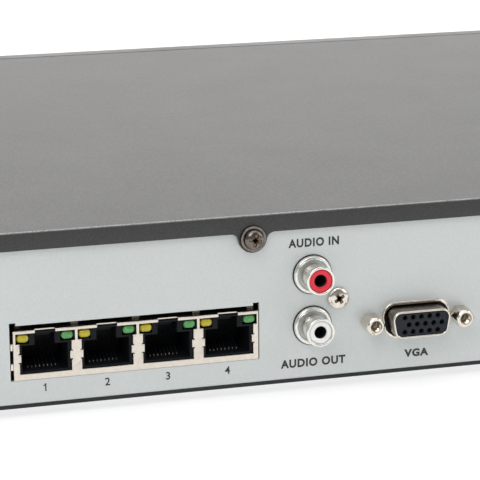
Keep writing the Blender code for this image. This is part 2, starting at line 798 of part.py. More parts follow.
def boards():
    """Make the main board and its heatsink."""
    box(
        "main_board",
        (-124 * MM, 28 * MM, BOARD_LOW),
        (150 * MM, WALL_INSIDE - GAP, BOARD_LOW + BOARD_THICK),
        "board_green",
    )
    low = Vector((0, 50 * MM, BOARD_LOW + BOARD_THICK + GAP))
    high = low + Vector((38, 38, 14)) * MM
    sink = box("heatsink", low, high, "aluminium")
    for number in range(7):
        x = low.x + (3 + number * 5) * MM
        slot_low = (x, low.y - MM, low.z + 3 * MM)
        slot_high = (x + 3 * MM, high.y + MM, high.z + MM)
        cut(sink, box(f"heatsink.slot{number}", slot_low, slot_high))


def drive():
    """Make the hard disk drive: case, lid, platter, actuator and circuit board."""
    high = DRIVE_LOW + DRIVE_SIZE
    wall = Vector((DRIVE_WALL, DRIVE_WALL, DRIVE_WALL))
    case = box("drive_case", DRIVE_LOW, high, "aluminium")
    cut(case, box("drive.hollow", DRIVE_LOW + wall, high - wall + Vector((0, 0, 20)) * MM))
    lid_low = (DRIVE_LOW.x, DRIVE_LOW.y, high.z + GAP)
    box("drive_lid", lid_low, (high.x, high.y, high.z + 1.5 * MM), "aluminium")
    middle = (DRIVE_LOW + high) / 2
    board_low = (middle.x - 55 * MM, middle.y - 30 * MM, DRIVE_LOW.z - 1.6 * MM)
    board_high = (middle.x + 55 * MM, middle.y + 30 * MM, DRIVE_LOW.z - GAP)
    box("drive_board", board_low, board_high, "board_green")
    platter = [
        (0, 0),
        (11 * MM, 0),
        (11 * MM, 8 * MM),
        (PLATTER_RADIUS, 8 * MM),
        (PLATTER_RADIUS, 9.3 * MM),
        (11 * MM, 9.3 * MM),
        (11 * MM, 12 * MM),
        (0, 12 * MM),
    ]
    turned("drive_platter", platter, SPINDLE, "platter_mirror", sides=36)
    arm = [(7 * MM, -5 * MM), (ARM_LENGTH, -1.5 * MM), (ARM_LENGTH, 1.5 * MM), (7 * MM, 5 * MM)]
    coil = [(-3 * MM, 5 * MM), (-15 * MM, 8 * MM), (-15 * MM, -8 * MM), (-3 * MM, -5 * MM)]
    actuator = plate(
        "drive_actuator",
        [arm + coil],
        10.3 * MM,
        11.9 * MM,
        "aluminium",
        place=PIVOT,
    )
    actuator.rotation_euler = (0, 0, ARM_ANGLE)
    join(actuator, rod("actuator.barrel", PIVOT + Vector((0, 0, 7 * MM)), 7 * MM, 14 * MM))


def fan():
    """Make the cooling fan: a square frame with its hub on three struts, and the rotor."""
    half = FAN_SIDE / 2
    frame = plate(
        "fan_frame",
        [rectangle((0, 0), FAN_SIDE, FAN_SIDE), circle(19 * MM, 32)],
        -FAN_DEPTH / 2,
        FAN_DEPTH / 2,
        "black_plastic",
        place=FAN_CENTRE,
    )
    frame.rotation_euler = ALONG_X
    hub = rod(
        "fan.hub",
        FAN_CENTRE + Vector((FAN_DEPTH / 2 - 0.8 * MM, 0, 0)),
        9 * MM,
        1.6 * MM,
        (0, pi / 2, 0),
    )
    join(frame, hub)
    for number in range(3):
        angle = 2 * pi * number / 3 + pi / 6
        strut = box(
            f"fan.strut{number}",
            (-0.8 * MM, -MM, 5 * MM),
            (0.8 * MM, MM, half - 0.2 * MM),
        )
        strut.data.transform(Matrix.Translation(strut.location))
        strut.location = FAN_CENTRE + Vector((FAN_DEPTH / 2 - 0.8 * MM, 0, 0))
        strut.rotation_euler = (angle, 0, 0)
        join(frame, strut)
    rotor = rod(
        "fan_rotor",
        FAN_CENTRE,
        8.5 * MM,
        7 * MM,
        (0, pi / 2, 0),
        "black_plastic",
    )
    rotor.location.x = FAN_CENTRE.x - 1.2 * MM
    for number in range(7):
        blade = box(
            f"fan.blade{number}",
            (-0.5 * MM, -4.5 * MM, 7 * MM),
            (0.5 * MM, 4.5 * MM, 18 * MM),
        )
        blade.data.transform(Matrix.Translation(blade.location))
        blade.data.transform(Matrix.Rotation(radians(55), 4, "Z"))
        blade.location = rotor.location
        blade.rotation_euler = (2 * pi * number / 7, 0, 0)
        join(rotor, blade)


def circle(radius, sides):
    """Return a circle's outline about the origin."""
    return [(radius * cos(2 * pi * n / sides), radius * sin(2 * pi * n / sides)) for n in range(sides)]


def smooth_route(points, steps=4):
    """Return points along a smooth curve through the given ones."""
    route = []
    count = len(points)
    for index in range(count - 1):
        before = points[max(index - 1, 0)]
        start, end = points[index], points[index + 1]
        after = points[min(index + 2, count - 1)]
        for step in range(steps):
            t = step / steps
            slope = (end - before) * 0.5 * t + (2 * before - 5 * start + 4 * end - after) * 0.5 * t**2
            route.append(start + slope + (3 * start - before - 3 * end + after) * 0.5 * t**3)
    route.append(points[-1])
    return route


def cable(name, points, radius, finish):
    """Make a cable along a smooth route inside the case."""
    curve = bpy.data.curves.new(name, "CURVE")
    curve.dimensions = "3D"
    curve.bevel_depth = radius
    curve.bevel_resolution = 2
    curve.use_fill_caps = True
    route = smooth_route([Vector(point) * MM for point in points])
    spline = curve.splines.new("POLY")
    spline.points.add(len(route) - 1)
    for point, place in zip(spline.points, route):
        point.co = (*place, 1)
    add_object(name, mesh_of_curve(name, curve), (0, 0, 0), finish, None)


def cables():
    """Make the drive's data cable and power cable, from the drive's end to the main board."""
    data = [
        (87.4, -80, 16),
        (96, -80, 16),
        (106, -72, 20),
        (112, -40, 26),
        (112, 10, 26),
        (112, 40, 20),
        (112, 44, 10.2),
    ]
    power = [
        (87.4, -50, 16),
        (94, -49, 16),
        (100, -42, 19),
        (102, -20, 24),
        (101, 10, 24),
        (100, 40, 18),
        (100, 44, 10.2),
    ]
    cable("drive_data_cable", data, 2 * MM, "cable_red")
    cable("drive_power_cable", power, 1.8 * MM, "cable_black")


clear_scene()
recorder = new_collection("network_video_recorder")
cutters = new_collection("cutters")
rear = frame_empty("rear_panel_frame", (WIDTH / 2 - PANEL_LEFT, REAR_Y, FOOT_HEIGHT), FACING_BACK)
front_frame = frame_empty("front_frame", (0, FRONT_Y, 0), FACING_FRONT)

screw_holes = screws()
chassis(screw_holes)
cover(screw_holes)
front()
feet()
jack_block("poe", 0, 4)
lamps()
jack_block("lan", LAN_X, 1)
audio_jacks()
video_socket()
small_sockets()
power_switch()
boards()
drive()
fan()
cables()
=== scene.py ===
"""Looks of a compact network video recorder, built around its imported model.

Every sub-assembly is a class with its own sizes, in millimetres, and every finish is a frozen dataclass.
Pieces on the rear panel are made in the panel's own frame: x to the right as seen from behind, y up from the
panel's lower edge and z outwards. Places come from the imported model's boxes.
"""

from __future__ import annotations

import logging
import math
from dataclasses import dataclass
from enum import Enum
from typing import Sequence

import bmesh
import bpy
from mathutils import Matrix, Vector

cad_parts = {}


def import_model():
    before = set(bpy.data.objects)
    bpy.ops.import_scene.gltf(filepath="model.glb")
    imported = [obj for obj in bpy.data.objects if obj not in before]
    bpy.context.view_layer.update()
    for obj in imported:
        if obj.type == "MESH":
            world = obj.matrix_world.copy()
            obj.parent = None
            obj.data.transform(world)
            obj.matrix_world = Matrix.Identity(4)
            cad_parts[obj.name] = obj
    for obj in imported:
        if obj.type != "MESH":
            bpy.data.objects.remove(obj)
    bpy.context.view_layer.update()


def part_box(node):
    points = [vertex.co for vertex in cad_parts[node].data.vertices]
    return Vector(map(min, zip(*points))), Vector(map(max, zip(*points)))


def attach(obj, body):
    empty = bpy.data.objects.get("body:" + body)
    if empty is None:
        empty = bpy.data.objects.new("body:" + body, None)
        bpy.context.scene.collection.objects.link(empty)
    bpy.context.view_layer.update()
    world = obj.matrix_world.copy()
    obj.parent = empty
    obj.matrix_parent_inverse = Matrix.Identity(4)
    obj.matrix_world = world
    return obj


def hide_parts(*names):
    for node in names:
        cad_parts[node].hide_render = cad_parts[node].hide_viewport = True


LOG = logging.getLogger("recorder")
MM = 0.001
SMOOTH_ANGLE = 35.0  # edges flatter than this are shaded smooth
WELD = 0.0000005  # points nearer than this, in metres, become one
SCREW_HOLE = 1.7  # radius of the hole around every sheet screw
LIP_OFFSET = (0.35, -0.12)  # the video socket's lip from the middle of its insert
SIDEWAYS = Matrix(((0, 0, 1), (1, 0, 0), (0, 1, 0))).to_4x4()  # turns a flat outline into the Y-Z plane
Point = tuple[float, float]
Outline = list[Point]
Colour = tuple[float, float, float]


# --------------------------------------------------------------------------------------------------
# Shared shader effects


class Effect(Enum):
    """The shader node groups that more than one finish uses."""

    GRAIN = "fine_grain"
    FLECK = "fleck"
    SMUDGE = "smudge"
    DUST = "settled_dust"
    DRAWN = "drawn_lines"
    # painted highlight: lightens the paint on bends, in place of the light they catch
    BEND_HIGHLIGHT = "bend_wear"


@dataclass(frozen=True)
class GroupPlan:
    """The sockets and nodes of one shared effect.

    Attributes:
        effect: Which effect this is.
        inputs: Name and default value of each input.
        outputs: Name of each output.
    """

    effect: Effect
    inputs: tuple[tuple[str, float], ...]
    outputs: tuple[str, ...]

    def tree(self) -> tuple[bpy.types.NodeTree, bpy.types.Node, bpy.types.Node]:
        """Make the empty group with its sockets.

        Returns:
            The node tree, its input node and its output node.
        """
        tree = bpy.data.node_groups.new(self.effect.value, "ShaderNodeTree")
        for name, value in self.inputs:
            made = tree.interface.new_socket(name, in_out="INPUT", socket_type="NodeSocketFloat")
            made.default_value = value
        for name in self.outputs:
            tree.interface.new_socket(name, in_out="OUTPUT", socket_type="NodeSocketFloat")
        return tree, tree.nodes.new("NodeGroupInput"), tree.nodes.new("NodeGroupOutput")


class Effects:
    """Builds each shared effect once."""

    @classmethod
    def get(cls, effect: Effect) -> bpy.types.NodeTree:
        """Return an effect's shared node group, built on first use."""
        found = bpy.data.node_groups.get(effect.value)
        return found or getattr(cls, effect.name.lower())()

    @staticmethod
    def _ramp(
        tree: bpy.types.NodeTree, source: bpy.types.NodeSocket, low: float, high: float
    ) -> bpy.types.NodeSocket:
        """Stretch a value between two limits to 0 and 1.

        Args:
            tree: The group being built.
            source: The value's socket.
            low: What becomes 0.
            high: What becomes 1.

        Returns:
            The stretched value's socket.
        """
        stretch = tree.nodes.new("ShaderNodeMapRange")
        stretch.inputs["From Min"].default_value = low
        stretch.inputs["From Max"].default_value = high
        tree.links.new(source, stretch.inputs["Value"])
        return stretch.outputs["Result"]

    @staticmethod
    def _noise(tree: bpy.types.NodeTree, scale: bpy.types.NodeSocket, detail: float) -> bpy.types.Node:
        """Add noise over the object's own coordinates.

        Args:
            tree: The group being built.
            scale: The socket that gives the noise its scale.
            detail: How many finer layers it has.

        Returns:
            The noise node.
        """
        place = tree.nodes.new("ShaderNodeTexCoord")
        noise = tree.nodes.new("ShaderNodeTexNoise")
        noise.inputs["Detail"].default_value = detail
        tree.links.new(place.outputs["Object"], noise.inputs["Vector"])
        tree.links.new(scale, noise.inputs["Scale"])
        return noise

    @classmethod
    def grain(cls) -> bpy.types.NodeTree:
        """Make the moulded or sprayed grain: a fine height and a tone that follows it.

        Returns:
            The group's node tree.
        """
        plan = GroupPlan(Effect.GRAIN, (("Scale", 2500.0), ("Detail", 2.0)), ("Height", "Tone"))
        tree, source, sink = plan.tree()
        noise = cls._noise(tree, source.outputs["Scale"], 2.0)
        tree.links.new(source.outputs["Detail"], noise.inputs["Detail"])
        tree.links.new(noise.outputs["Fac"], sink.inputs["Height"])
        tree.links.new(cls._ramp(tree, noise.outputs["Fac"], 0.3, 0.7), sink.inputs["Tone"])
        return tree

    @classmethod
    def fleck(cls) -> bpy.types.NodeTree:
        """Make scattered specks: a mask that is 1 on a few small spots.

        Returns:
            The group's node tree.
        """
        plan = GroupPlan(Effect.FLECK, (("Scale", 900.0), ("Size", 0.25)), ("Mask",))
        tree, source, sink = plan.tree()
        place = tree.nodes.new("ShaderNodeTexCoord")
        cells = tree.nodes.new("ShaderNodeTexVoronoi")
        tree.links.new(place.outputs["Object"], cells.inputs["Vector"])
        tree.links.new(source.outputs["Scale"], cells.inputs["Scale"])
        inside = tree.nodes.new("ShaderNodeMath")
        inside.operation = "LESS_THAN"
        tree.links.new(cells.outputs["Distance"], inside.inputs[0])
        tree.links.new(source.outputs["Size"], inside.inputs[1])
        tree.links.new(inside.outputs["Value"], sink.inputs["Mask"])
        return tree

    @classmethod
    def smudge(cls) -> bpy.types.NodeTree:
        """Make broad soft patches, as handling leaves on metal and plastic.

        Returns:
            The group's node tree.
        """
        plan = GroupPlan(Effect.SMUDGE, (("Scale", 30.0),), ("Mask",))
        tree, source, sink = plan.tree()
        noise = cls._noise(tree, source.outputs["Scale"], 4.0)
        tree.links.new(cls._ramp(tree, noise.outputs["Fac"], 0.35, 0.7), sink.inputs["Mask"])
        return tree

    @classmethod
    def dust(cls) -> bpy.types.NodeTree:
        """Make settled dust: a mask on faces that look up, broken by noise.

        Returns:
            The group's node tree.
        """
        plan = GroupPlan(Effect.DUST, (("Scale", 120.0), ("Amount", 0.3)), ("Mask",))
        tree, source, sink = plan.tree()
        noise = cls._noise(tree, source.outputs["Scale"], 6.0)
        shape = tree.nodes.new("ShaderNodeNewGeometry")
        split = tree.nodes.new("ShaderNodeSeparateXYZ")
        tree.links.new(shape.outputs["Normal"], split.inputs["Vector"])
        upward = cls._ramp(tree, split.outputs["Z"], 0.2, 1.0)
        broken = tree.nodes.new("ShaderNodeMath")
        broken.operation = "MULTIPLY"
        tree.links.new(upward, broken.inputs[0])
        tree.links.new(cls._ramp(tree, noise.outputs["Fac"], 0.35, 0.75), broken.inputs[1])
        amount = tree.nodes.new("ShaderNodeMath")
        amount.operation = "MULTIPLY"
        tree.links.new(broken.outputs["Value"], amount.inputs[0])
        tree.links.new(source.outputs["Amount"], amount.inputs[1])
        tree.links.new(amount.outputs["Value"], sink.inputs["Mask"])
        return tree

    @classmethod
    def bend_highlight(cls) -> bpy.types.NodeTree:
        """Make a painted highlight along bends: a mask on faces that lean between up and level, broken by
        noise.

        Returns:
            The group's node tree.
        """
        plan = GroupPlan(Effect.BEND_HIGHLIGHT, (("Scale", 900.0), ("Amount", 0.8)), ("Mask",))
        tree, source, sink = plan.tree()
        noise = cls._noise(tree, source.outputs["Scale"], 3.0)
        shape = tree.nodes.new("ShaderNodeNewGeometry")
        split = tree.nodes.new("ShaderNodeSeparateXYZ")
        tree.links.new(shape.outputs["Normal"], split.inputs["Vector"])
        rising = cls._ramp(tree, split.outputs["Z"], 0.45, 0.75)
        falling = cls._ramp(tree, split.outputs["Z"], 0.995, 0.9)
        mask = source.outputs["Amount"]
        for value in (rising, falling, cls._ramp(tree, noise.outputs["Fac"], 0.2, 0.55)):
            step = tree.nodes.new("ShaderNodeMath")
            step.operation = "MULTIPLY"
            tree.links.new(mask, step.inputs[0])
            tree.links.new(value, step.inputs[1])
            mask = step.outputs["Value"]
        tree.links.new(mask, sink.inputs["Mask"])
        return tree

    @classmethod
    def drawn(cls) -> bpy.types.NodeTree:
        """Make the faint lines that rolling or drawing leaves along a sheet's width.

        Returns:
            The group's node tree.
        """
        plan = GroupPlan(Effect.DRAWN, (("Scale", 400.0), ("Stretch", 0.02)), ("Height", "Tone"))
        tree, source, sink = plan.tree()
        noise = cls._noise(tree, source.outputs["Scale"], 3.0)
        place = tree.nodes.new("ShaderNodeTexCoord")
        squeeze = tree.nodes.new("ShaderNodeCombineXYZ")
        scaled = tree.nodes.new("ShaderNodeVectorMath")
        scaled.operation = "MULTIPLY"
        squeeze.inputs["Y"].default_value = 1.0
        squeeze.inputs["Z"].default_value = 1.0
        tree.links.new(source.outputs["Stretch"], squeeze.inputs["X"])
        tree.links.new(place.outputs["Object"], scaled.inputs[0])
        tree.links.new(squeeze.outputs["Vector"], scaled.inputs[1])
        tree.links.new(scaled.outputs["Vector"], noise.inputs["Vector"])
        tree.links.new(noise.outputs["Fac"], sink.inputs["Height"])
        tree.links.new(cls._ramp(tree, noise.outputs["Fac"], 0.3, 0.7), sink.inputs["Tone"])
        return tree


# --------------------------------------------------------------------------------------------------
# Finishes


@dataclass(frozen=True)
class Finish:
    """A surface with a base colour, a second tone that its grain mixes in, and a relief.

    Attributes:
        name: The material's name.
        slot: The record's material slot it belongs to; not used here.
        colour: Main linear colour.
        tone: Second linear colour, on the grain's high spots.
        roughness: Mean roughness.
        metallic: Metallic value.
        grain_scale: Grains along a metre.
        relief: Height of the grain in metres.
        coat: Weight of a clear coat.
        smudge_scale: Smudges along a metre.
        smudge_depth: How far a smudge moves the roughness.
        shine: Specular level of the surface.
    """

    name: str
    slot: str
    colour: Colour
    tone: Colour
    roughness: float
    metallic: float = 0.0
    grain_scale: float = 2500.0
    relief: float = 0.00001
    coat: float = 0.0
    smudge_scale: float = 40.0
    smudge_depth: float = 0.08
    shine: float = 0.5

    def material(self) -> bpy.types.Material:
        """Return this finish's material, made once.

        Returns:
            The material.
        """
        found = bpy.data.materials.get(self.name)
        if found:
            return found
        made = bpy.data.materials.new(self.name)
        made.use_nodes = True
        tree = made.node_tree
        shader = tree.nodes["Principled BSDF"]
        shader.inputs["Metallic"].default_value = self.metallic
        shader.inputs["Coat Weight"].default_value = self.coat
        shader.inputs["Specular IOR Level"].default_value = self.shine
        tree.links.new(self.base_colour(tree), shader.inputs["Base Color"])
        tree.links.new(self.varied_roughness(tree), shader.inputs["Roughness"])
        tree.links.new(self.relief_normal(tree), shader.inputs["Normal"])
        self.extras(tree, shader)
        return made

    def effect(self, tree: bpy.types.NodeTree, effect: Effect, **values: float) -> bpy.types.Node:
        """Place a shared effect in the material with this finish's own values.

        Args:
            tree: The material's node tree.
            effect: The effect.
            **values: Input name to value.

        Returns:
            The group node.
        """
        node = tree.nodes.new("ShaderNodeGroup")
        node.node_tree = Effects.get(effect)
        for name, value in values.items():
            node.inputs[name].default_value = value
        return node

    def blend(
        self,
        tree: bpy.types.NodeTree,
        mask: bpy.types.NodeSocket,
        first: Colour | bpy.types.NodeSocket,
        second: Colour,
    ) -> bpy.types.NodeSocket:
        """Mix two colours by a mask.

        Args:
            tree: The material's node tree.
            mask: 0 for the first colour, 1 for the second.
            first: A colour, or a socket that gives one.
            second: The other colour.

        Returns:
            The mixed colour's socket.
        """
        mix = tree.nodes.new("ShaderNodeMix")
        mix.data_type = "RGBA"
        tree.links.new(mask, mix.inputs["Factor"])
        if isinstance(first, bpy.types.NodeSocket):
            tree.links.new(first, mix.inputs["A"])
        else:
            mix.inputs["A"].default_value = (*first, 1)
        mix.inputs["B"].default_value = (*second, 1)
        return mix.outputs["Result"]

    def base_colour(self, tree: bpy.types.NodeTree) -> bpy.types.NodeSocket:
        """Mix the two tones by the grain."""
        grain = self.effect(tree, Effect.GRAIN, Scale=self.grain_scale)
        return self.blend(tree, grain.outputs["Tone"], self.colour, self.tone)

    def varied_roughness(self, tree: bpy.types.NodeTree) -> bpy.types.NodeSocket:
        """Let broad smudges change the roughness a little.

        Args:
            tree: The material's node tree.

        Returns:
            The roughness's socket.
        """
        smudge = self.effect(tree, Effect.SMUDGE, Scale=self.smudge_scale)
        spread = tree.nodes.new("ShaderNodeMapRange")
        spread.inputs["To Min"].default_value = max(self.roughness - self.smudge_depth / 2, 0.02)
        spread.inputs["To Max"].default_value = self.roughness + self.smudge_depth / 2
        tree.links.new(smudge.outputs["Mask"], spread.inputs["Value"])
        return spread.outputs["Result"]

    def relief_normal(self, tree: bpy.types.NodeTree) -> bpy.types.NodeSocket:
        """Turn the grain into a relief.

        Args:
            tree: The material's node tree.

        Returns:
            The normal's socket.
        """
        grain = self.effect(tree, Effect.GRAIN, Scale=self.grain_scale)
        bump = tree.nodes.new("ShaderNodeBump")
        bump.inputs["Distance"].default_value = self.relief
        tree.links.new(grain.outputs["Height"], bump.inputs["Height"])
        return bump.outputs["Normal"]

    def extras(self, tree: bpy.types.NodeTree, shader: bpy.types.Node) -> None:
        """Set what only some finishes have."""


@dataclass(frozen=True)
class PowderPaint(Finish):
    """Powder paint: a fine orange peel with pale flecks, a trace of dust and a painted highlight along its
    bends.
    """

    fleck: Colour = (0.055, 0.055, 0.055)
    fleck_scale: float = 1500.0
    fleck_size: float = 0.24
    dust: Colour = (0.4, 0.4, 0.4)
    dust_scale: float = 2000.0
    dust_amount: float = 0.13
    # pale colour painted on the bends as a highlight
    highlight_colour: Colour = (0.45, 0.45, 0.44)
    highlight_scale: float = 2400.0
    highlight_amount: float = 1.0

    def base_colour(self, tree: bpy.types.NodeTree) -> bpy.types.NodeSocket:
        """Mix the tones, then the flecks, the dust and the painted highlight on the bends.

        Args:
            tree: The material's node tree.

        Returns:
            The colour's socket.
        """
        base = super().base_colour(tree)
        fleck = self.effect(tree, Effect.FLECK, Scale=self.fleck_scale, Size=self.fleck_size)
        flecked = self.blend(tree, fleck.outputs["Mask"], base, self.fleck)
        dust = self.effect(tree, Effect.DUST, Scale=self.dust_scale, Amount=self.dust_amount)
        dusted = self.blend(tree, dust.outputs["Mask"], flecked, self.dust)
        # painted highlight along the bends
        bend_highlight = self.effect(tree, Effect.BEND_HIGHLIGHT, Scale=self.highlight_scale, Amount=self.highlight_amount)
        return self.blend(tree, bend_highlight.outputs["Mask"], dusted, self.highlight_colour)


@dataclass(frozen=True)
class SheetMetal(Finish):
    """Coated or plated sheet with faint rolling lines along its width."""

    line_scale: float = 900.0
    line_stretch: float = 0.02

    def relief_normal(self, tree: bpy.types.NodeTree) -> bpy.types.NodeSocket:
        """Turn the rolling lines into a relief.

        Args:
            tree: The material's node tree.

        Returns:
            The normal's socket.
        """
        lines = self.effect(tree, Effect.DRAWN, Scale=self.line_scale, Stretch=self.line_stretch)
        bump = tree.nodes.new("ShaderNodeBump")
        bump.inputs["Distance"].default_value = self.relief
        tree.links.new(lines.outputs["Height"], bump.inputs["Height"])
        return bump.outputs["Normal"]


@dataclass(frozen=True)
class Lens(Finish):
    """A coloured translucent lens."""

    depth: float = 0.4
    scatter: float = 0.001
    scatter_scale: float = 0.5

    def extras(self, tree: bpy.types.NodeTree, shader: bpy.types.Node) -> None:
        """Let light scatter inside the lens.

        Args:
            tree: The material's node tree.
            shader: Its main shader.
        """
        shader.inputs["Subsurface Weight"].default_value = self.depth
        shader.inputs["Subsurface Radius"].default_value = (self.scatter, self.scatter, self.scatter)
        shader.inputs["Subsurface Scale"].default_value = self.scatter_scale


@dataclass(frozen=True)
class Ink(Finish):
    """Screen-printed ink."""


@dataclass(frozen=True)
class LitFloor(Finish):
    """A translucent white table top, lit from below."""

    glow: float = 0.65

    def extras(self, tree: bpy.types.NodeTree, shader: bpy.types.Node) -> None:
        """Let the table glow."""
        shader.inputs["Emission Color"].default_value = (1, 1, 1, 1)
        shader.inputs["Emission Strength"].default_value = self.glow


COVER = PowderPaint(
    "cover_powder", "cover_paint", (0.026, 0.026, 0.027), (0.04, 0.04, 0.041),
    roughness=0.5, grain_scale=2600.0, relief=0.00002, smudge_depth=0.02,
)
ZINC = SheetMetal(
    "zinc_sheet", "panel_zinc", (0.56, 0.592, 0.588), (0.60, 0.627, 0.622),
    roughness=0.42, metallic=0.35, grain_scale=1800.0, relief=0.000002,
)
BEZEL = Finish(
    "bezel_black", "black_plastic", (0.012, 0.012, 0.013), (0.02, 0.02, 0.022),
    roughness=0.42, grain_scale=2200.0, relief=0.00002,
)
HOUSING = Finish(
    "housing_black", "black_plastic", (0.005, 0.006, 0.008), (0.008, 0.009, 0.011),
    roughness=0.5, grain_scale=3000.0, relief=0.000008, shine=0.15,
)
WINDOW = Finish(
    "window_smoked", "window_acrylic", (0.004, 0.004, 0.005), (0.006, 0.006, 0.008),
    roughness=0.08, grain_scale=300.0, relief=0.000001, coat=0.5,
)
RUBBER = Finish(
    "rubber_moulded", "foot_rubber", (0.012, 0.014, 0.016), (0.022, 0.025, 0.028),
    roughness=0.8, grain_scale=1500.0, relief=0.00003,
)
NICKEL = Finish(
    "nickel_plate", "nickel", (0.80, 0.75, 0.67), (0.70, 0.65, 0.57),
    roughness=0.2, metallic=1.0, grain_scale=900.0, relief=0.000002,
)
SATIN_NICKEL = Finish(
    "nickel_satin", "nickel", (0.84, 0.83, 0.79), (0.76, 0.75, 0.71),
    roughness=0.24, metallic=1.0, grain_scale=1500.0, relief=0.000004,
)
# dark nickel; on the video shell's outer wall it is painted shade of the bright shell
BRONZE = Finish(
    "nickel_dark", "bronze_nickel", (0.23, 0.20, 0.175), (0.14, 0.12, 0.105),
    roughness=0.24, metallic=1.0, grain_scale=1100.0, relief=0.000003,
)
# painted shade: colour of the dark filling at the bottom of each screw's cross recess
RECESS_SHADE = Finish(
    "recess_painted_shade", "bronze_nickel", (0.16, 0.11, 0.075), (0.22, 0.16, 0.11),
    roughness=0.5, metallic=0.3,
)
TIN = SheetMetal(
    "tin_bright", "tin_plate", (0.74, 0.68, 0.60), (0.68, 0.62, 0.55),
    roughness=0.28, metallic=1.0, grain_scale=900.0, relief=0.000002,
)
GOLD = Finish(
    "contact_gold", "nickel", (0.66, 0.63, 0.56), (0.58, 0.55, 0.48),
    roughness=0.4, metallic=0.3, grain_scale=1500.0, relief=0.000002,
)
YELLOW = Lens(
    "lens_yellow", "yellow_lens", (0.50, 0.42, 0.015), (0.44, 0.38, 0.03),
    roughness=0.22, grain_scale=700.0, relief=0.000004, coat=0.3,
)
GREEN = Lens(
    "lens_green", "green_lens", (0.075, 0.30, 0.075), (0.11, 0.34, 0.12),
    roughness=0.22, grain_scale=700.0, relief=0.000004, coat=0.3,
)
RED = Finish(
    "insulator_red", "red_insulator", (0.75, 0.02, 0.045), (0.66, 0.02, 0.04),
    roughness=0.32, grain_scale=900.0, relief=0.000004,
)
WHITE = Finish(
    "insulator_white", "white_insulator", (0.84, 0.84, 0.82), (0.78, 0.78, 0.76),
    roughness=0.35, grain_scale=900.0, relief=0.000004,
)
INSERT = Finish(
    "insert_dark", "dark_insert", (0.011, 0.013, 0.017), (0.016, 0.019, 0.024),
    roughness=0.5, relief=0.000006, shine=0.25,
)
BOARD = Finish(
    "board_green", "board_green", (0.012, 0.10, 0.035), (0.02, 0.14, 0.05),
    roughness=0.35, grain_scale=400.0, coat=0.3,
)
ALUMINIUM = SheetMetal(
    "aluminium_satin", "aluminium", (0.70, 0.71, 0.72), (0.62, 0.63, 0.65),
    roughness=0.36, metallic=1.0,
)
MIRROR = Finish(
    "platter_polished", "platter_mirror", (0.85, 0.85, 0.86), (0.8, 0.8, 0.82),
    roughness=0.05, metallic=1.0, grain_scale=50.0, relief=0.0000005,
)
RED_SHEATH = Finish(
    "sheath_red", "cable_red", (0.45, 0.02, 0.02), (0.38, 0.02, 0.02),
    roughness=0.45, grain_scale=900.0,
)
BLACK_SHEATH = Finish(
    "sheath_black", "cable_black", (0.012, 0.012, 0.012), (0.02, 0.02, 0.02),
    roughness=0.5, grain_scale=900.0,
)
INK = Ink(
    "print_grey", "panel_zinc", (0.018, 0.02, 0.022), (0.028, 0.03, 0.032),
    roughness=0.6, grain_scale=3000.0, relief=0.000002,
)
PALE_INK = Ink(
    "print_white", "black_plastic", (0.7, 0.7, 0.7), (0.62, 0.62, 0.62),
    roughness=0.5, grain_scale=3000.0, relief=0.000002,
)
FLOOR = LitFloor(
    "studio_floor", "cover_paint", (0.40, 0.40, 0.40), (0.42, 0.42, 0.42),
    roughness=0.75, grain_scale=40.0, relief=0.0001,
)


# --------------------------------------------------------------------------------------------------
# Making meshes


class Axis(Enum):
    """The axes that a mesh is turned about."""

    X = "X"
    Y = "Y"
    Z = "Z"


class Solids(Enum):
    """The ways to combine two closed meshes."""

    CUT = "DIFFERENCE"
    SHARED = "INTERSECT"


def mesh_of(cage: bmesh.types.BMesh, name: str) -> bpy.types.Mesh:
    """Turn an edited cage into a mesh, its faces pointing out, and free the cage.

    Args:
        cage: The cage.
        name: The mesh's name.

    Returns:
        The mesh.
    """
    bmesh.ops.recalc_face_normals(cage, faces=cage.faces)
    mesh = bpy.data.meshes.new(name)
    cage.to_mesh(mesh)
    cage.free()
    return mesh


def evaluated_mesh(data: bpy.types.ID, *modifiers: tuple[str, dict]) -> bpy.types.Mesh:
    """Apply modifiers to a mesh, or turn a curve into a mesh.

    Args:
        data: The mesh or curve.
        *modifiers: Type and settings of each modifier, in order.

    Returns:
        The resulting mesh.
    """
    holder = bpy.data.objects.new("holder", data)
    bpy.context.scene.collection.objects.link(holder)
    for kind, settings in modifiers:
        modifier = holder.modifiers.new(kind.lower(), kind)
        for key, value in settings.items():
            setattr(modifier, key, value)
    evaluated = holder.evaluated_get(bpy.context.evaluated_depsgraph_get())
    mesh = bpy.data.meshes.new_from_object(evaluated)
    bpy.data.objects.remove(holder, do_unlink=True)
    mesh.materials.clear()
    return mesh


def welded(mesh: bpy.types.Mesh) -> bpy.types.Mesh:
    """Weld a mesh's doubled points and turn its faces out.

    Args:
        mesh: The mesh, changed in place.

    Returns:
        The same mesh.
    """
    cage = bmesh.new()
    cage.from_mesh(mesh)
    bmesh.ops.remove_doubles(cage, verts=cage.verts, dist=WELD)
    bmesh.ops.recalc_face_normals(cage, faces=cage.faces)
    cage.to_mesh(mesh)
    cage.free()
    return mesh


def plate(outlines: Sequence[Outline], low: float, high: float, edge: float = 0.0) -> bpy.types.Mesh:
    """Extrude flat outlines between two heights, with softened edges.

    Args:
        outlines: Outlines in millimetres. One inside another is a hole.
        low: Lower height in millimetres.
        high: Upper height in millimetres.
        edge: Radius of the edges in millimetres.

    Returns:
        The plate's mesh, in metres.
    """
    curve = bpy.data.curves.new("plate", "CURVE")
    curve.dimensions = "2D"
    curve.fill_mode = "BOTH"
    curve.extrude = ((high - low) / 2 - edge) * MM
    curve.bevel_depth = edge * MM
    curve.bevel_resolution = 1
    curve.offset = -edge * MM
    for outline in outlines:
        spline = curve.splines.new("POLY")
        spline.points.add(len(outline) - 1)
        for point, (x, y) in zip(spline.points, outline):
            point.co = (x * MM, y * MM, 0, 1)
        spline.use_cyclic_u = True
    mesh = welded(evaluated_mesh(curve))
    mesh.transform(Matrix.Translation((0, 0, (low + high) / 2 * MM)))
    return mesh


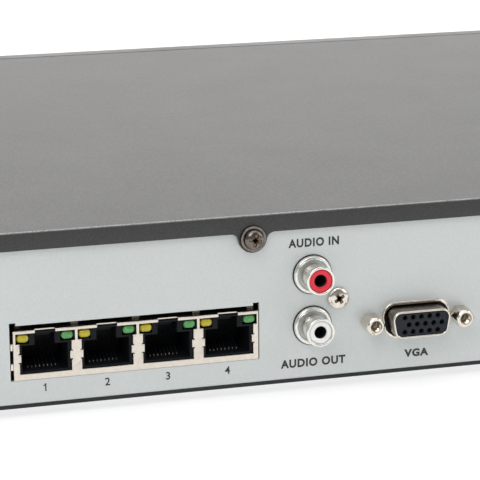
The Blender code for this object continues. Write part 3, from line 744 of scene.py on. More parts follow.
def turned(profile: Sequence[Point], steps: int = 48) -> bpy.types.Mesh:
    """Turn a profile about the Z axis.

    Args:
        profile: Radius and height pairs in millimetres. A profile that doesn't end on the axis is closed.
        steps: Sides of the turned shape.

    Returns:
        The turned mesh, in metres.
    """
    cage = bmesh.new()
    points = [cage.verts.new((radius * MM, 0, height * MM)) for radius, height in profile]
    edges = [cage.edges.new(pair) for pair in zip(points, points[1:])]
    if profile[0][0] > 0 or profile[-1][0] > 0:
        edges.append(cage.edges.new((points[-1], points[0])))
    bmesh.ops.spin(cage, geom=points + edges, axis=(0, 0, 1), angle=math.tau, steps=steps, use_merge=True)
    bmesh.ops.remove_doubles(cage, verts=cage.verts, dist=WELD)
    return mesh_of(cage, "turned")


def hoop(inner: float, outer: float, low: float, high: float, steps: int = 48) -> bpy.types.Mesh:
    """Turn a plain ring between two radii and two heights, in millimetres."""
    return turned([(inner, low), (outer, low), (outer, high), (inner, high)], steps)


def block(
    low: Sequence[float], high: Sequence[float], edge: float = 0.0, segments: int = 2
) -> bpy.types.Mesh:
    """Make a box with rounded edges between two corners.

    Args:
        low: Lower corner in millimetres.
        high: Upper corner in millimetres.
        edge: Radius of its edges in millimetres.
        segments: Steps in each rounded edge.

    Returns:
        The box's mesh, in metres.
    """
    low, high = Vector(low) * MM, Vector(high) * MM
    cage = bmesh.new()
    bmesh.ops.create_cube(cage, size=1)
    bmesh.ops.scale(cage, vec=high - low, verts=cage.verts)
    bmesh.ops.translate(cage, vec=(low + high) / 2, verts=cage.verts)
    if edge:
        bmesh.ops.bevel(
            cage, geom=cage.edges[:], offset=edge * MM, segments=segments, profile=0.5, affect="EDGES"
        )
    return mesh_of(cage, "block")


def loft(sections: Sequence[Sequence[Vector]], capped: bool = False) -> bpy.types.Mesh:
    """Join closed sections that have the same number of points.

    Args:
        sections: Points of each section in millimetres, from first to last.
        capped: Whether the first and last sections are filled.

    Returns:
        The lofted mesh, in metres.
    """
    cage = bmesh.new()
    rings = [[cage.verts.new(point * MM) for point in section] for section in sections]
    count = len(rings[0])
    for lower, upper in zip(rings, rings[1:]):
        for index in range(count):
            after = (index + 1) % count
            cage.faces.new((lower[index], lower[after], upper[after], upper[index]))
    if capped:
        cage.faces.new(rings[0])
        cage.faces.new(rings[-1])
    return mesh_of(cage, "loft")


def wire(points: Sequence[Sequence[float]], radius: float, sides: int = 2) -> bpy.types.Mesh:
    """Sweep a round wire along points.

    Args:
        points: The route in millimetres.
        radius: The wire's radius in millimetres.
        sides: Bevel resolution.

    Returns:
        The wire's mesh, in metres.
    """
    curve = bpy.data.curves.new("wire", "CURVE")
    curve.dimensions = "3D"
    curve.bevel_depth = radius * MM
    curve.bevel_resolution = sides
    curve.use_fill_caps = True
    spline = curve.splines.new("POLY")
    spline.points.add(len(points) - 1)
    for point, place in zip(spline.points, points):
        point.co = (*(Vector(place) * MM), 1)
    return welded(evaluated_mesh(curve))


def merged(*meshes: bpy.types.Mesh) -> bpy.types.Mesh:
    """Gather several meshes into one.

    Args:
        *meshes: The meshes.

    Returns:
        One mesh that holds them all.
    """
    cage = bmesh.new()
    for mesh in meshes:
        cage.from_mesh(mesh)
    gathered = bpy.data.meshes.new("merged")
    cage.to_mesh(gathered)
    cage.free()
    return gathered


def moved(mesh: bpy.types.Mesh, x: float = 0.0, y: float = 0.0, z: float = 0.0) -> bpy.types.Mesh:
    """Return a copy of a mesh, moved by millimetres.

    Args:
        mesh: The mesh.
        x: How far it moves along X.
        y: How far it moves along Y.
        z: How far it moves along Z.

    Returns:
        The moved copy.
    """
    copy = mesh.copy()
    copy.transform(Matrix.Translation(Vector((x, y, z)) * MM))
    return copy


def spun(mesh: bpy.types.Mesh, angle: float, axis: Axis = Axis.Z) -> bpy.types.Mesh:
    """Return a copy of a mesh, turned about an axis through the origin.

    Args:
        mesh: The mesh.
        angle: The angle in radians.
        axis: The axis.

    Returns:
        The turned copy.
    """
    copy = mesh.copy()
    copy.transform(Matrix.Rotation(angle, 4, axis.value))
    return copy


def combined(mesh: bpy.types.Mesh, others: Sequence[bpy.types.Mesh], way: Solids) -> bpy.types.Mesh:
    """Cut a mesh with others, or keep what it shares with them.

    Args:
        mesh: The mesh to start from.
        others: The closed meshes, used one after another.
        way: How they are combined.

    Returns:
        The resulting mesh.
    """
    tools = []
    for other in others:
        tool = bpy.data.objects.new("tool", other)
        bpy.context.scene.collection.objects.link(tool)
        tools.append(tool)
    steps = [("BOOLEAN", {"operation": way.value, "object": tool, "solver": "EXACT"}) for tool in tools]
    result = evaluated_mesh(mesh, *steps)
    for tool in tools:
        bpy.data.objects.remove(tool, do_unlink=True)
    return result


def carved(mesh: bpy.types.Mesh, *others: bpy.types.Mesh) -> bpy.types.Mesh:
    """Cut other meshes out of a mesh."""
    return combined(mesh, others, Solids.CUT)


def rectangle(x: float, y: float, width: float, height: float) -> Outline:
    """Return a rectangle about its centre."""
    half, rise = width / 2, height / 2
    return [(x - half, y - rise), (x + half, y - rise), (x + half, y + rise), (x - half, y + rise)]


def circle(x: float, y: float, radius: float, sides: int = 32) -> Outline:
    """Return a circle."""
    spokes = [math.tau * index / sides for index in range(sides)]
    return [(x + radius * math.cos(angle), y + radius * math.sin(angle)) for angle in spokes]


def rounded(corners: Outline, radius: float, steps: int = 5) -> Outline:
    """Round each corner of a convex outline listed anticlockwise.

    Args:
        corners: The corners.
        radius: Their radius.
        steps: Steps in each corner.

    Returns:
        The rounded outline.
    """
    outline = []
    for index, corner in enumerate(corners):
        here = Vector(corner)
        before = (Vector(corners[index - 1]) - here).normalized()
        after = (Vector(corners[(index + 1) % len(corners)]) - here).normalized()
        half_angle = before.angle(after) / 2
        centre = here + (before + after).normalized() * (radius / math.sin(half_angle))
        sweep = math.pi - 2 * half_angle
        first = math.atan2(-before.y, -before.x) - math.pi / 2
        for step in range(steps + 1):
            angle = first + sweep * step / steps
            outline.append((centre.x + radius * math.cos(angle), centre.y + radius * math.sin(angle)))
    return outline


def mirrored(half: Outline) -> Outline:
    """Complete an outline from its right half, listed from the lowest point to the highest."""
    return half + [(-x, y) for x, y in reversed(half) if x > 0]


def shifted(outline: Outline, x: float, y: float = 0.0) -> Outline:
    """Move an outline."""
    return [(across + x, up + y) for across, up in outline]


def shrunk(outline: Outline, middle: Vector, by: float) -> Outline:
    """Pull an outline's points towards its middle by a distance along each axis.

    Args:
        outline: The outline.
        middle: Its middle.
        by: The distance.

    Returns:
        The smaller outline.
    """
    pulled = []
    for x, y in outline:
        pulled.append((x - math.copysign(by, x - middle.x), y - math.copysign(by, y - middle.y)))
    return pulled


def d_shape(x: float, y: float, width: float, height: float, radius: float) -> Outline:
    """Return a D-shaped connector outline, wider at the top.

    Args:
        x: Its middle across.
        y: Its middle height.
        width: Its width at the top.
        height: Its height.
        radius: Its corner radius.

    Returns:
        The outline.
    """
    slope = height * math.tan(math.radians(10))  # its sides lean by ten degrees
    corners = [
        (x - width / 2 + slope, y - height / 2),
        (x + width / 2 - slope, y - height / 2),
        (x + width / 2, y + height / 2),
        (x - width / 2, y + height / 2),
    ]
    return rounded(corners, radius, 6)


# --------------------------------------------------------------------------------------------------
# The bench: places pieces and attaches them to their bodies


@dataclass
class Bench:
    """Puts finished meshes into the scene on one face of the case.

    Attributes:
        matrix: From the face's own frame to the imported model's frame.
        body: The body that its pieces move with.
    """

    matrix: Matrix
    body: str = "case"

    def add(
        self,
        name: str,
        mesh: bpy.types.Mesh,
        finish: Finish,
        *nodes: str,
        smooth: float = SMOOTH_ANGLE,
        body: str | None = None,
    ) -> bpy.types.Object:
        """Add a piece.

        Args:
            name: The piece's name.
            mesh: Its mesh, in this face's frame.
            finish: Its finish.
            *nodes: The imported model's nodes that it stands for.
            smooth: Edges flatter than this many degrees are shaded smooth.
            body: The body it moves with, where that isn't the bench's own.

        Returns:
            The new object.
        """
        mesh.transform(self.matrix)
        mesh.name = name
        mesh.materials.clear()
        mesh.materials.append(finish.material())
        mesh.shade_smooth()
        mesh.set_sharp_from_angle(angle=math.radians(smooth))
        piece = bpy.data.objects.new(name, mesh)
        bpy.context.scene.collection.objects.link(piece)
        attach(piece, body or self.body)
        if nodes:
            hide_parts(*nodes)
        LOG.info("piece %s: %d faces, finish %s", name, len(mesh.polygons), finish.name)
        return piece

    def box(self, node: str) -> tuple[Vector, Vector]:
        """Return a node's lowest and highest corners in this face's frame, in millimetres.

        Args:
            node: The node's name.

        Returns:
            The lowest and the highest corner.
        """
        inverse = self.matrix.inverted()
        corners = [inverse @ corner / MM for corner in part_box(node)]
        low = Vector(min(pair) for pair in zip(*corners))
        high = Vector(max(pair) for pair in zip(*corners))
        return low, high

    def centre(self, node: str) -> Vector:
        """Return the middle of a node's box in this face's frame, in millimetres."""
        low, high = self.box(node)
        return (low + high) / 2

    def dress(self, finish: Finish, *nodes: str) -> None:
        """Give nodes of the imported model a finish.

        Args:
            finish: The finish.
            *nodes: The nodes, which keep their shape.
        """
        for node in nodes:
            mesh = bpy.data.objects[node].data
            mesh.materials.clear()
            mesh.materials.append(finish.material())
            mesh.shade_smooth()
            mesh.set_sharp_from_angle(angle=math.radians(SMOOTH_ANGLE))
            LOG.info("node %s: finish %s", node, finish.name)


def rear_bench() -> Bench:
    """Return the bench of the rear panel: x right as seen from behind, y up, z out.

    Returns:
        The bench, with its origin at the first jack block's left edge.
    """
    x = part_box("poe_shield")[1].x
    low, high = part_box("base_chassis")
    turn = Matrix(((-1, 0, 0), (0, 0, 1), (0, 1, 0))).to_4x4()
    return Bench(Matrix.Translation((x, high.y, low.z)) @ turn)


def front_bench() -> Bench:
    """Return the bench of the front bezel: x right as seen from the front, y up, z out.

    Returns:
        The bench, with its origin below the middle of the bezel's face, level with the soles of the feet.
    """
    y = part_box("front_bezel")[0].y
    turn = Matrix(((1, 0, 0), (0, 0, -1), (0, 1, 0))).to_4x4()
    return Bench(Matrix.Translation((0, y, 0)) @ turn)


def case_bench() -> Bench:
    """Return the bench of the whole case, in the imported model's own frame."""
    return Bench(Matrix.Identity(4))


# --------------------------------------------------------------------------------------------------
# Case


@dataclass
class CoverScrew:
    """A pan-head screw with a cross recess and, where the case has one, a washer."""

    head_radius: float = 2.6
    head_height: float = 1.95
    washer_radius: float = 0.0
    washer_height: float = 0.55
    recess_width: float = 1.15
    recess_length: float = 3.5
    recess_depth: float = 1.25
    shank_radius: float = 1.3
    shank_length: float = 4.0
    seat: float = 0.3

    def mesh(self, turn: float = 0.0) -> bpy.types.Mesh:
        """Build the screw along its own Z, its seat at zero.

        Args:
            turn: Angle of the cross recess.

        Returns:
            The screw's mesh.
        """
        base = self.seat + (self.washer_height if self.washer_radius else 0)
        r, h = self.head_radius, self.head_height
        profile = [(0, base), (r * 0.94, base), (r, base + 0.12), (r, base + 0.45 * h)]
        for step in range(1, 7):
            angle = math.radians(15 * step)
            profile.append((r * math.cos(angle) * 0.98, base + 0.45 * h + 0.53 * h * math.sin(angle)))
        profile[-1] = (0, profile[-1][1])
        head = carved(turned(profile, 40), *self.recess(base + h, turn))
        shank = hoop(0, self.shank_radius, -self.shank_length, base + 0.1, 20)
        parts = [head, shank]
        if self.washer_radius:
            w, t = self.washer_radius, self.washer_height
            rim = [(1.6, self.seat), (w - 0.08, self.seat), (w, self.seat + 0.12), (w, self.seat + t - 0.12)]
            rim += [(w - 0.12, self.seat + t), (1.6, self.seat + t)]
            parts.append(turned(rim, 48))
        return merged(*parts)

    def recess_shade_fill(self, turn: float = 0.0) -> bpy.types.Mesh:
        """Build the dark filling deep in the cross recess, which paints the recess's shade.

        Args:
            turn: Angle of the cross recess.

        Returns:
            The filling's mesh.
        """
        top = self.seat + (self.washer_height if self.washer_radius else 0) + self.head_height
        half, thick = self.recess_length * 0.47, self.recess_width * 0.36
        arm = block((-half, -thick, top - self.recess_depth), (half, thick, top - 0.42), 0.1, 1)
        hub = block((-0.75, -0.75, top - self.recess_depth), (0.75, 0.75, top - 0.42), 0.1, 1)
        return merged(spun(arm, turn), spun(arm, turn + math.pi / 2), spun(hub, turn + math.pi / 4))

    def shade(self) -> bpy.types.Mesh:
        """Build dark rings that paint the shadow under the head and around the washer.

        Returns:
            The two rings' mesh.
        """
        base, r, w = self.seat + self.washer_height, self.head_radius, self.washer_radius
        inner = hoop(r - 0.2, r + 0.18, base - 0.1, base + 0.03)
        return merged(inner, hoop(w - 0.3, w + 0.12, 0.31, 0.42))

    def recess(self, top: float, turn: float) -> list[bpy.types.Mesh]:
        """Build the two tapered arms that cut the cross recess.

        Args:
            top: Height of the head's crown.
            turn: Angle of the recess.

        Returns:
            The two cutters.
        """
        cutters = []
        for arm in range(2):
            sections = []
            for height, reach, width in (
                (top - self.recess_depth, 0.36, 0.55),
                (top + 0.3, 0.56, 1.0),
            ):
                half = self.recess_length * reach
                thick = self.recess_width * width / 2
                corners = ((-half, -thick), (half, -thick), (half, thick), (-half, thick))
                sections.append([Vector((x, y, height)) for x, y in corners])
            cutters.append(spun(loft(sections, capped=True), turn + arm * math.pi / 2))
        return cutters


@dataclass
class Chassis:
    """The lower sheet: front wall, floor and rear panel in one bend, with two side lips."""

    rear: Bench
    case: Bench
    sheet: float = 1.0
    bend: float = 0.6
    lip: float = 12.0
    lan_hole: Point = (17.2, 14.2)
    video_hole: Point = (19.5, 9.0)
    digital_hole: Point = (15.8, 6.3)
    usb_hole: Point = (14.0, 6.5)
    front_usb_hole: Point = (14.0, 6.6)
    switch_hole: Point = (13.6, 19.6)
    audio_hole: float = 4.5
    jackscrew_hole: float = 1.8
    power_hole: float = 4.4
    # size of the dark strip that paints the shadow under the rear edge
    shadow_strip_width: float = 3.0
    shadow_strip_height: float = 1.0

    def build(self) -> None:
        """Build the sheet, cut its openings, add the screws under its floor and a dark strip along its rear
        edge that paints the shadow under the case.
        """
        low, high = (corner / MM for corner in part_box("base_chassis"))
        outline = self.section(low.y, high.y, low.z, high.z)
        sheet = plate([outline], low.x, high.x)
        sheet.transform(SIDEWAYS)
        cutters = [self.to_case(mesh) for mesh in self.openings()]
        usb = front_bench()
        centre = usb.centre("usb_front_shell")
        hole = plate([rectangle(centre.x, centre.y, *self.front_usb_hole)], -13, -6)
        hole.transform(usb.matrix)
        sheet = carved(sheet, *cutters, hole)
        lips = []
        for side in (low.x, high.x - self.sheet):
            y_low, y_high = low.y + self.sheet + 0.2, high.y - self.sheet - 0.2
            corner = (side + self.sheet, y_high, low.z + self.lip)
            lips.append(block((side, y_low, low.z + 0.05), corner, 0.15, 1))
        self.case.add("chassis_sheet", merged(sheet, *lips), ZINC, "base_chassis", smooth=25)
        # dark strip under the rear edge: painted shadow of the gap under the case
        corner = (low.x, high.y - self.shadow_strip_width, low.z - self.shadow_strip_height)
        edge = block(corner, (high.x, high.y - 0.25, low.z + 0.1), 0.1, 1)
        self.case.add("base_edge_painted_shadow", edge, RUBBER)
        self.floor_screws()

    def section(self, front: float, back: float, floor: float, top: float) -> Outline:
        """Return the sheet's cross-section with its two bends, in the Y-Z plane.

        Args:
            front: The front wall's outer face.
            back: The rear panel's outer face.
            floor: The floor's lower face.
            top: The walls' upper edge.

        Returns:
            The closed outline.
        """
        t = self.sheet
        outer = [(front, top)] + self.arc(front + self.bend, floor + self.bend, self.bend, 180, 270)
        outer += self.arc(back - self.bend, floor + self.bend, self.bend, 270, 360) + [(back, top)]
        inner = [(back - t, top), (back - t, floor + t), (front + t, floor + t), (front + t, top)]
        return outer + inner

    @staticmethod
    def arc(x: float, y: float, radius: float, start: float, end: float, steps: int = 6) -> Outline:
        """Return points along an arc between two angles in degrees."""
        spokes = [math.radians(start + (end - start) * step / steps) for step in range(steps + 1)]
        return [(x + radius * math.cos(angle), y + radius * math.sin(angle)) for angle in spokes]

    def to_case(self, mesh: bpy.types.Mesh) -> bpy.types.Mesh:
        """Move a mesh from the rear panel's frame to the case's."""
        mesh.transform(self.rear.matrix)
        return mesh

    def openings(self) -> list[bpy.types.Mesh]:
        """Return the cutters of everything that shows through the rear panel.

        Returns:
            One closed mesh for each opening, in the panel's frame.
        """
        rear = self.rear
        window_low, window_high = rear.box("poe_shield")
        right, low, top = window_high.x + 0.3, window_low.y - 0.1, window_high.y + 1.43
        left, notch, rise = window_low.x - 0.85, 1.65, 0.75
        window = [
            (left, low),
            (right, low),
            (right, top + rise),
            (right - notch, top + rise),
            (right - notch, top),
            (left + notch, top),
            (left + notch, top + rise),
            (left, top + rise),
        ]
        lan, video = rear.centre("lan_shield"), rear.centre("video_insert")
        digital, usb = rear.centre("digital_video_shell"), rear.centre("usb_rear_shell")
        switch = rear.centre("power_switch_frame")
        outlines = [
            window,
            rectangle(lan.x, lan.y, *self.lan_hole),
            d_shape(video.x + LIP_OFFSET[0], video.y + LIP_OFFSET[1], *self.video_hole, 3.3),
            rounded(rectangle(digital.x, digital.y, *self.digital_hole), 0.6),
            rounded(rectangle(usb.x, usb.y, *self.usb_hole), 0.6),
            rectangle(switch.x, switch.y, *self.switch_hole),
        ]
        for node, radius in (
            ("audio_in_shell", self.audio_hole),
            ("audio_out_shell", self.audio_hole),
            ("audio_panel_screw", SCREW_HOLE),
            ("video_jackscrew_left", self.jackscrew_hole),
            ("video_jackscrew_right", self.jackscrew_hole),
            ("ground_screw", SCREW_HOLE),
            ("cover_screw_rear_1", SCREW_HOLE),
            ("cover_screw_rear_2", SCREW_HOLE),
            ("dc_pin", self.power_hole),
        ):
            middle = rear.centre(node)
            outlines.append(circle(middle.x, middle.y, radius))
        return [plate([outline], -3, 1) for outline in outlines]

    def floor_screws(self) -> None:
        """Add the countersunk screws that hold the drive, seen from below."""
        low, high = (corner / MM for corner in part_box("drive_case"))
        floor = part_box("base_chassis")[0].z / MM
        screw = CoverScrew(head_radius=2.9, head_height=1.1, seat=0.0)
        shape = spun(screw.mesh(0.4), math.pi, Axis.X)
        inset = 8.0
        places = [(x, y) for x in (low.x + inset, high.x - inset) for y in (low.y + inset, high.y - inset)]
        heads = merged(*(moved(shape, x, y, floor) for x, y in places))
        self.case.add("drive_screws", heads, NICKEL)


@dataclass
class TopCover:
    """The upper sheet: top, sides, rear flange with two screw tabs, and vents in both sides."""

    rear: Bench
    case: Bench
    sheet: float = 1.0
    bend: float = 0.7
    flange: float = 4.81
    tab_radius: float = 3.75
    fillet: float = 2.2
    vent_pitch: float = 4.6
    vent_width: float = 2.2
    vent_count: int = 9
    vent_low: float = 18.0
    vent_high: float = 40.0
    second_vents: float = 60.0

    def build(self) -> None:
        """Build the shell, cut its flange, vents and screw holes."""
        low, high = (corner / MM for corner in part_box("top_cover"))
        shell = self.shell(low, high)
        cutters = [plate([self.flange_cut(high.z)], 0.0, 3.0)]
        cutters[0].transform(self.rear.matrix)
        shell = carved(shell, *cutters, *self.vents(), *self.side_holes())
        for number in (1, 2):
            middle = self.rear.centre(f"cover_screw_rear_{number}")
            hole = plate([circle(middle.x, middle.y, SCREW_HOLE)], 0.0, 3.0)
            hole.transform(self.rear.matrix)
            shell = carved(shell, hole)
        self.case.add("cover_sheet", shell, COVER, "top_cover", smooth=40)
        self.screws()

    def shell(self, low: Vector, high: Vector) -> bpy.types.Mesh:
        """Build the open box with its long bends.

        Args:
            low: The cover's lowest corner.
            high: Its highest corner.

        Returns:
            The sheet, with its thickness.
        """
        cage = bmesh.new()
        bmesh.ops.create_cube(cage, size=1)
        bmesh.ops.scale(cage, vec=(high - low) * MM, verts=cage.verts)
        bmesh.ops.translate(cage, vec=(high + low) / 2 * MM, verts=cage.verts)
        gone = [face for face in cage.faces if face.normal.z < -0.5 or face.normal.y < -0.5]
        bmesh.ops.delete(cage, geom=gone, context="FACES")
        bends = [edge for edge in cage.edges if len(edge.link_faces) == 2 and edge.verts[0].co.z > 0.02]
        bends = [edge for edge in bends if edge.verts[1].co.z > 0.02]
        bmesh.ops.bevel(cage, geom=bends, offset=self.bend * MM, segments=5, profile=0.5, affect="EDGES")
        mesh = mesh_of(cage, "cover")
        if mesh.polygons[0].normal.dot(mesh.polygons[0].center - (high + low) / 2 * MM) < 0:
            mesh.flip_normals()
        solid = {"thickness": self.sheet * MM, "offset": -1.0, "use_even_offset": True}
        return evaluated_mesh(mesh, ("SOLIDIFY", solid))

    def flange_cut(self, top: float) -> Outline:
        """Return what is cut from the rear wall: all below the flange but the two screw tabs.

        Args:
            top: Height of the cover's top face.

        Returns:
            The closed outline, in the rear panel's frame.
        """
        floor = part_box("base_chassis")[0].z / MM
        height = top - floor - self.flange
        low, high = self.rear.box("top_cover")
        left, right = low.x + self.sheet, high.x - self.sheet
        outline = [(left, -5), (right, -5), (right, height)]
        middles = [self.rear.centre(f"cover_screw_rear_{number}") for number in (1, 2)]
        for middle in sorted(middles, key=lambda point: -point.x):
            outline += self.tab_edge(middle.x, middle.y, height)
        return outline + [(left, height)]

    def tab_edge(self, x: float, y: float, flange: float) -> Outline:
        """Return one tab's edge from right to left: a fillet, a round end and a fillet.

        Args:
            x: The screw's place across.
            y: The screw's height.
            flange: Height of the flange's lower edge.

        Returns:
            The points of the edge.
        """
        rise = y - (flange - self.fillet)
        across = math.sqrt((self.tab_radius + self.fillet) ** 2 - rise**2)
        meet = math.degrees(math.atan2(-rise, across))
        base = flange - self.fillet
        edge = Chassis.arc(x + across, base, self.fillet, 90, 180 + meet, 5)
        edge += Chassis.arc(x, y, self.tab_radius, meet, -180 - meet, 14)[1:-1]
        return edge + Chassis.arc(x - across, base, self.fillet, -meet, 90, 5)

    def vents(self) -> list[bpy.types.Mesh]:
        """Return the cutters of the vents, each through both sides.

        Returns:
            The cutters, in the case's frame.
        """
        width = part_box("top_cover")[1].x / MM
        fan = (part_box("fan_frame")[0].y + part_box("fan_frame")[1].y) / 2 / MM
        cutters = []
        for start in (fan, self.second_vents):
            for number in range(self.vent_count):
                y = start + (number - (self.vent_count - 1) / 2) * self.vent_pitch
                middle = (self.vent_low + self.vent_high) / 2
                slot = rectangle(y, middle, self.vent_width, self.vent_high - self.vent_low)
                cutter = plate([rounded(slot, self.vent_width / 2 - 0.01, 4)], -2 * width, 2 * width)
                cutter.transform(SIDEWAYS)
                cutters.append(cutter)
        return cutters

    def side_holes(self) -> list[bpy.types.Mesh]:
        """Return the cutters of the side screws' holes.

        Returns:
            The cutters, in the case's frame.
        """
        cutters = []
        for number in (1, 2):
            low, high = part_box(f"cover_screw_left_{number}")
            middle = (low + high) / 2 / MM
            cutter = plate([circle(middle.y, middle.z, SCREW_HOLE)], -200, 200)
            cutter.transform(SIDEWAYS)
            cutters.append(cutter)
        return cutters

    def screws(self) -> None:
        """Add the rear and side screws."""
        flange_face = self.rear.box("top_cover")[1].z
        for number in (1, 2):
            node = f"cover_screw_rear_{number}"
            middle = self.rear.centre(node)
            screw, turn = CoverScrew(washer_radius=3.4), 0.35 + number
            shape = moved(screw.mesh(turn), middle.x, middle.y, flange_face)
            self.rear.add(node + "_dressed", shape, BRONZE, node)
            # dark cross deep in the recess: painted shade
            dark = moved(screw.recess_shade_fill(turn), middle.x, middle.y, flange_face)
            self.rear.add(node + "_grime", dark, RECESS_SHADE)
            # dark rings under the head and around the washer: painted shadow
            shade = moved(screw.shade(), middle.x, middle.y, flange_face)
            self.rear.add(node + "_shade", shade, HOUSING)
        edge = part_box("top_cover")[1].x / MM
        for word, side in (("left", -1), ("right", 1)):
            for number in (1, 2):
                node = f"cover_screw_{word}_{number}"
                low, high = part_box(node)
                middle = (low + high) / 2 / MM
                shape = spun(CoverScrew(head_height=1.9).mesh(0.2 + number), side * math.pi / 2, Axis.Y)
                self.case.add(node + "_dressed", moved(shape, side * edge, middle.y, middle.z), BRONZE, node)


@dataclass
class Foot:
    """A rubber foot with a screw in its recess."""

    case: Bench
    screw_height: float = 1.7

    def build(self) -> None:
        """Build the four feet."""
        for node in ("foot_front_left", "foot_front_right", "foot_rear_left", "foot_rear_right"):
            low, high = (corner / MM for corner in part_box(node))
            r, h = (high.x - low.x) / 2, high.z - low.z
            profile = [(0, 1.6), (2.9, 1.6), (3.1, 0.25), (3.4, 0), (r - 1.1, 0), (r - 0.5, 0.25), (r, 1.0)]
            profile += [(r, h - 0.5), (r - 0.3, h), (0, h)]
            middle = (low + high) / 2
            self.case.add(node + "_dressed", moved(turned(profile), middle.x, middle.y), RUBBER, node)
            screw = CoverScrew(head_radius=2.4, head_height=1.0, seat=0.0, recess_length=2.6).mesh(0.6)
            screw = moved(spun(screw, math.pi, Axis.X), middle.x, middle.y, self.screw_height)
            self.case.add(node + "_screw", screw, NICKEL)


# --------------------------------------------------------------------------------------------------
# Rear panel


@dataclass
class JackBlock:
    """A shielded row of network jacks with their lamps, contacts and earthing fingers."""

    rear: Bench
    prefix: str
    count: int
    pitch: float = 15.99
    margin: float = 1.585
    opening: float = 13.38
    floor: float = 8.05
    latch: float = 2.6
    rim: float = 0.78
    lamp_floor: float = 16.0
    lamp_reach: float = 0.955
    lamp_offset: float = 5.76
    lamp_height: float = 17.3
    tab_middle: float = 12.2
    contact_pitch: float = 1.016
    contact_radius: float = 0.095
    contact_count: int = 8
    side_fingers: Point = (15.2, 10.0)

    def build(self) -> None:
        """Build the shield and its fingers, the contacts, the latch stops and the lamps."""
        low, high = self.rear.box(f"{self.prefix}_shield")
        middles = [low.x + self.margin + self.opening / 2 + port * self.pitch for port in range(self.count)]
        shield = merged(self.face(low, high, middles), *self.walls(low, high, middles))
        self.rear.add(f"{self.prefix}_shield_dressed", shield, TIN, f"{self.prefix}_shield", smooth=50)
        self.rear.add(f"{self.prefix}_top_fingers", self.top_fingers(low, high, middles), BRONZE)
        left = [
            block((low.x - 0.62, y - 0.95, -0.85), (low.x + 0.05, y + 0.95, -0.45), 0.15)
            for y in self.side_fingers
        ]
        self.rear.add(f"{self.prefix}_side_fingers", merged(*left), SATIN_NICKEL)
        self.rear.dress(HOUSING, f"{self.prefix}_housing")
        tips = [self.contacts(x, ((0.5, -3.5), (0.8, -3.2), (0.88, -3.5))) for x in middles]
        self.rear.add(f"{self.prefix}_contacts", merged(*tips), GOLD)
        # inner stretch of the contacts in a dark finish: painted shade deep in the port
        painted_shade_arms = [self.contacts(x, ((0.88, -3.5), (4.6, -11.8))) for x in middles]
        self.rear.add(f"{self.prefix}_contact_painted_shade", merged(*painted_shade_arms), INSERT)
        stops = [
            block((x - 2.2, self.lamp_floor + 0.6, -12.5), (x + 2.2, high.y - 0.9, -4.0), 0.2, 1)
            for x in middles
        ]
        self.rear.add(f"{self.prefix}_latch_stops", merged(*stops), HOUSING)
        self.lamps(middles)

    def face(self, low: Vector, high: Vector, middles: list[float]) -> bpy.types.Mesh:
        """Build the shield's front, a comb that is open over each latch.

        Args:
            low: The shield's lowest corner.
            high: Its highest corner.
            middles: Middle of each port.

        Returns:
            The front plate.
        """
        outline = [(low.x, low.y), (high.x, low.y), (high.x, high.y)]
        for middle in reversed(middles):
            outline += shifted(self.port_edge(high.y), middle)
        outline.append((low.x, high.y))
        return plate([outline], high.z - 0.35, high.z, 0.09)

    def port_edge(self, top: float) -> Outline:
        """Return one port's edge from the top right, down, across and up to the top left.

        Args:
            top: Height of the shield's upper edge.

        Returns:
            The points about the port's middle.
        """
        half, tab = self.opening / 2, self.tab_middle
        lamp = half + self.lamp_reach
        right = [
            (self.latch, top),
            (self.latch, top - self.rim),
            (lamp, top - self.rim),
            (lamp, self.lamp_floor),
            (half, self.lamp_floor),
            (half, tab + 1.3),
            (half + 0.3, tab + 1.3),
            (half + 0.3, tab + 1.0),
            (half - 0.4, tab + 1.0),
            (half - 0.4, tab - 1.0),
            (half + 0.3, tab - 1.0),
            (half + 0.3, tab - 1.3),
            (half, tab - 1.3),
            (half, self.floor),
        ]
        return right + [(-x, y) for x, y in reversed(right)]

    def walls(self, low: Vector, high: Vector, middles: list[float]) -> list[bpy.types.Mesh]:
        """Build the shield's top, bottom, sides and back, and the folded sill of each port.

        Args:
            low: The shield's lowest corner.
            high: Its highest corner.
            middles: Middle of each port.

        Returns:
            The walls' meshes.
        """
        sheet, front = 0.3, high.z - 0.2
        outline = [(low.x, low.z), (high.x, low.z), (high.x, front)]
        for middle in reversed(middles):
            for x, out in ((self.latch, 0.0), (self.latch, -0.9), (-self.latch, -0.9), (-self.latch, 0.0)):
                outline.append((middle + x, front + out))
        outline.append((low.x, front))
        roof = plate([outline], -high.y, sheet - high.y)
        walls = [spun(roof, math.pi / 2, Axis.X)]
        walls.append(block((low.x, low.y, low.z), (high.x, low.y + sheet, front)))
        walls.append(block((low.x, low.y, low.z), (high.x, high.y, low.z + sheet)))
        walls.append(block((low.x, low.y, low.z), (low.x + sheet, high.y, front)))
        walls.append(block((high.x - sheet, low.y, low.z), (high.x, high.y, front)))
        half = self.opening / 2 - 0.4
        for x in middles:
            walls.append(block((x - half, self.floor - 1, -1.1), (x + half, self.floor + 0.2, -0.8), 0.05, 1))
        return walls

    def top_fingers(self, low: Vector, high: Vector, middles: list[float]) -> bpy.types.Mesh:
        """Build the earthing fingers over the shield.

        Args:
            low: The shield's lowest corner.
            high: Its highest corner.
            middles: Middle of each port.

        Returns:
            The fingers' mesh.
        """
        made = []
        for middle in middles:
            x = middle + self.pitch / 2 - (1.4 if middle == middles[-1] else 0)
            made.append(block((x - 0.95, high.y - 0.1, -2.6), (x + 0.95, high.y + 0.75, -2.2), 0.15))
        made.append(block((low.x + 1.2, high.y - 0.1, -4.6), (low.x + 2.8, high.y + 0.6, -4.2), 0.15))
        return merged(*made)

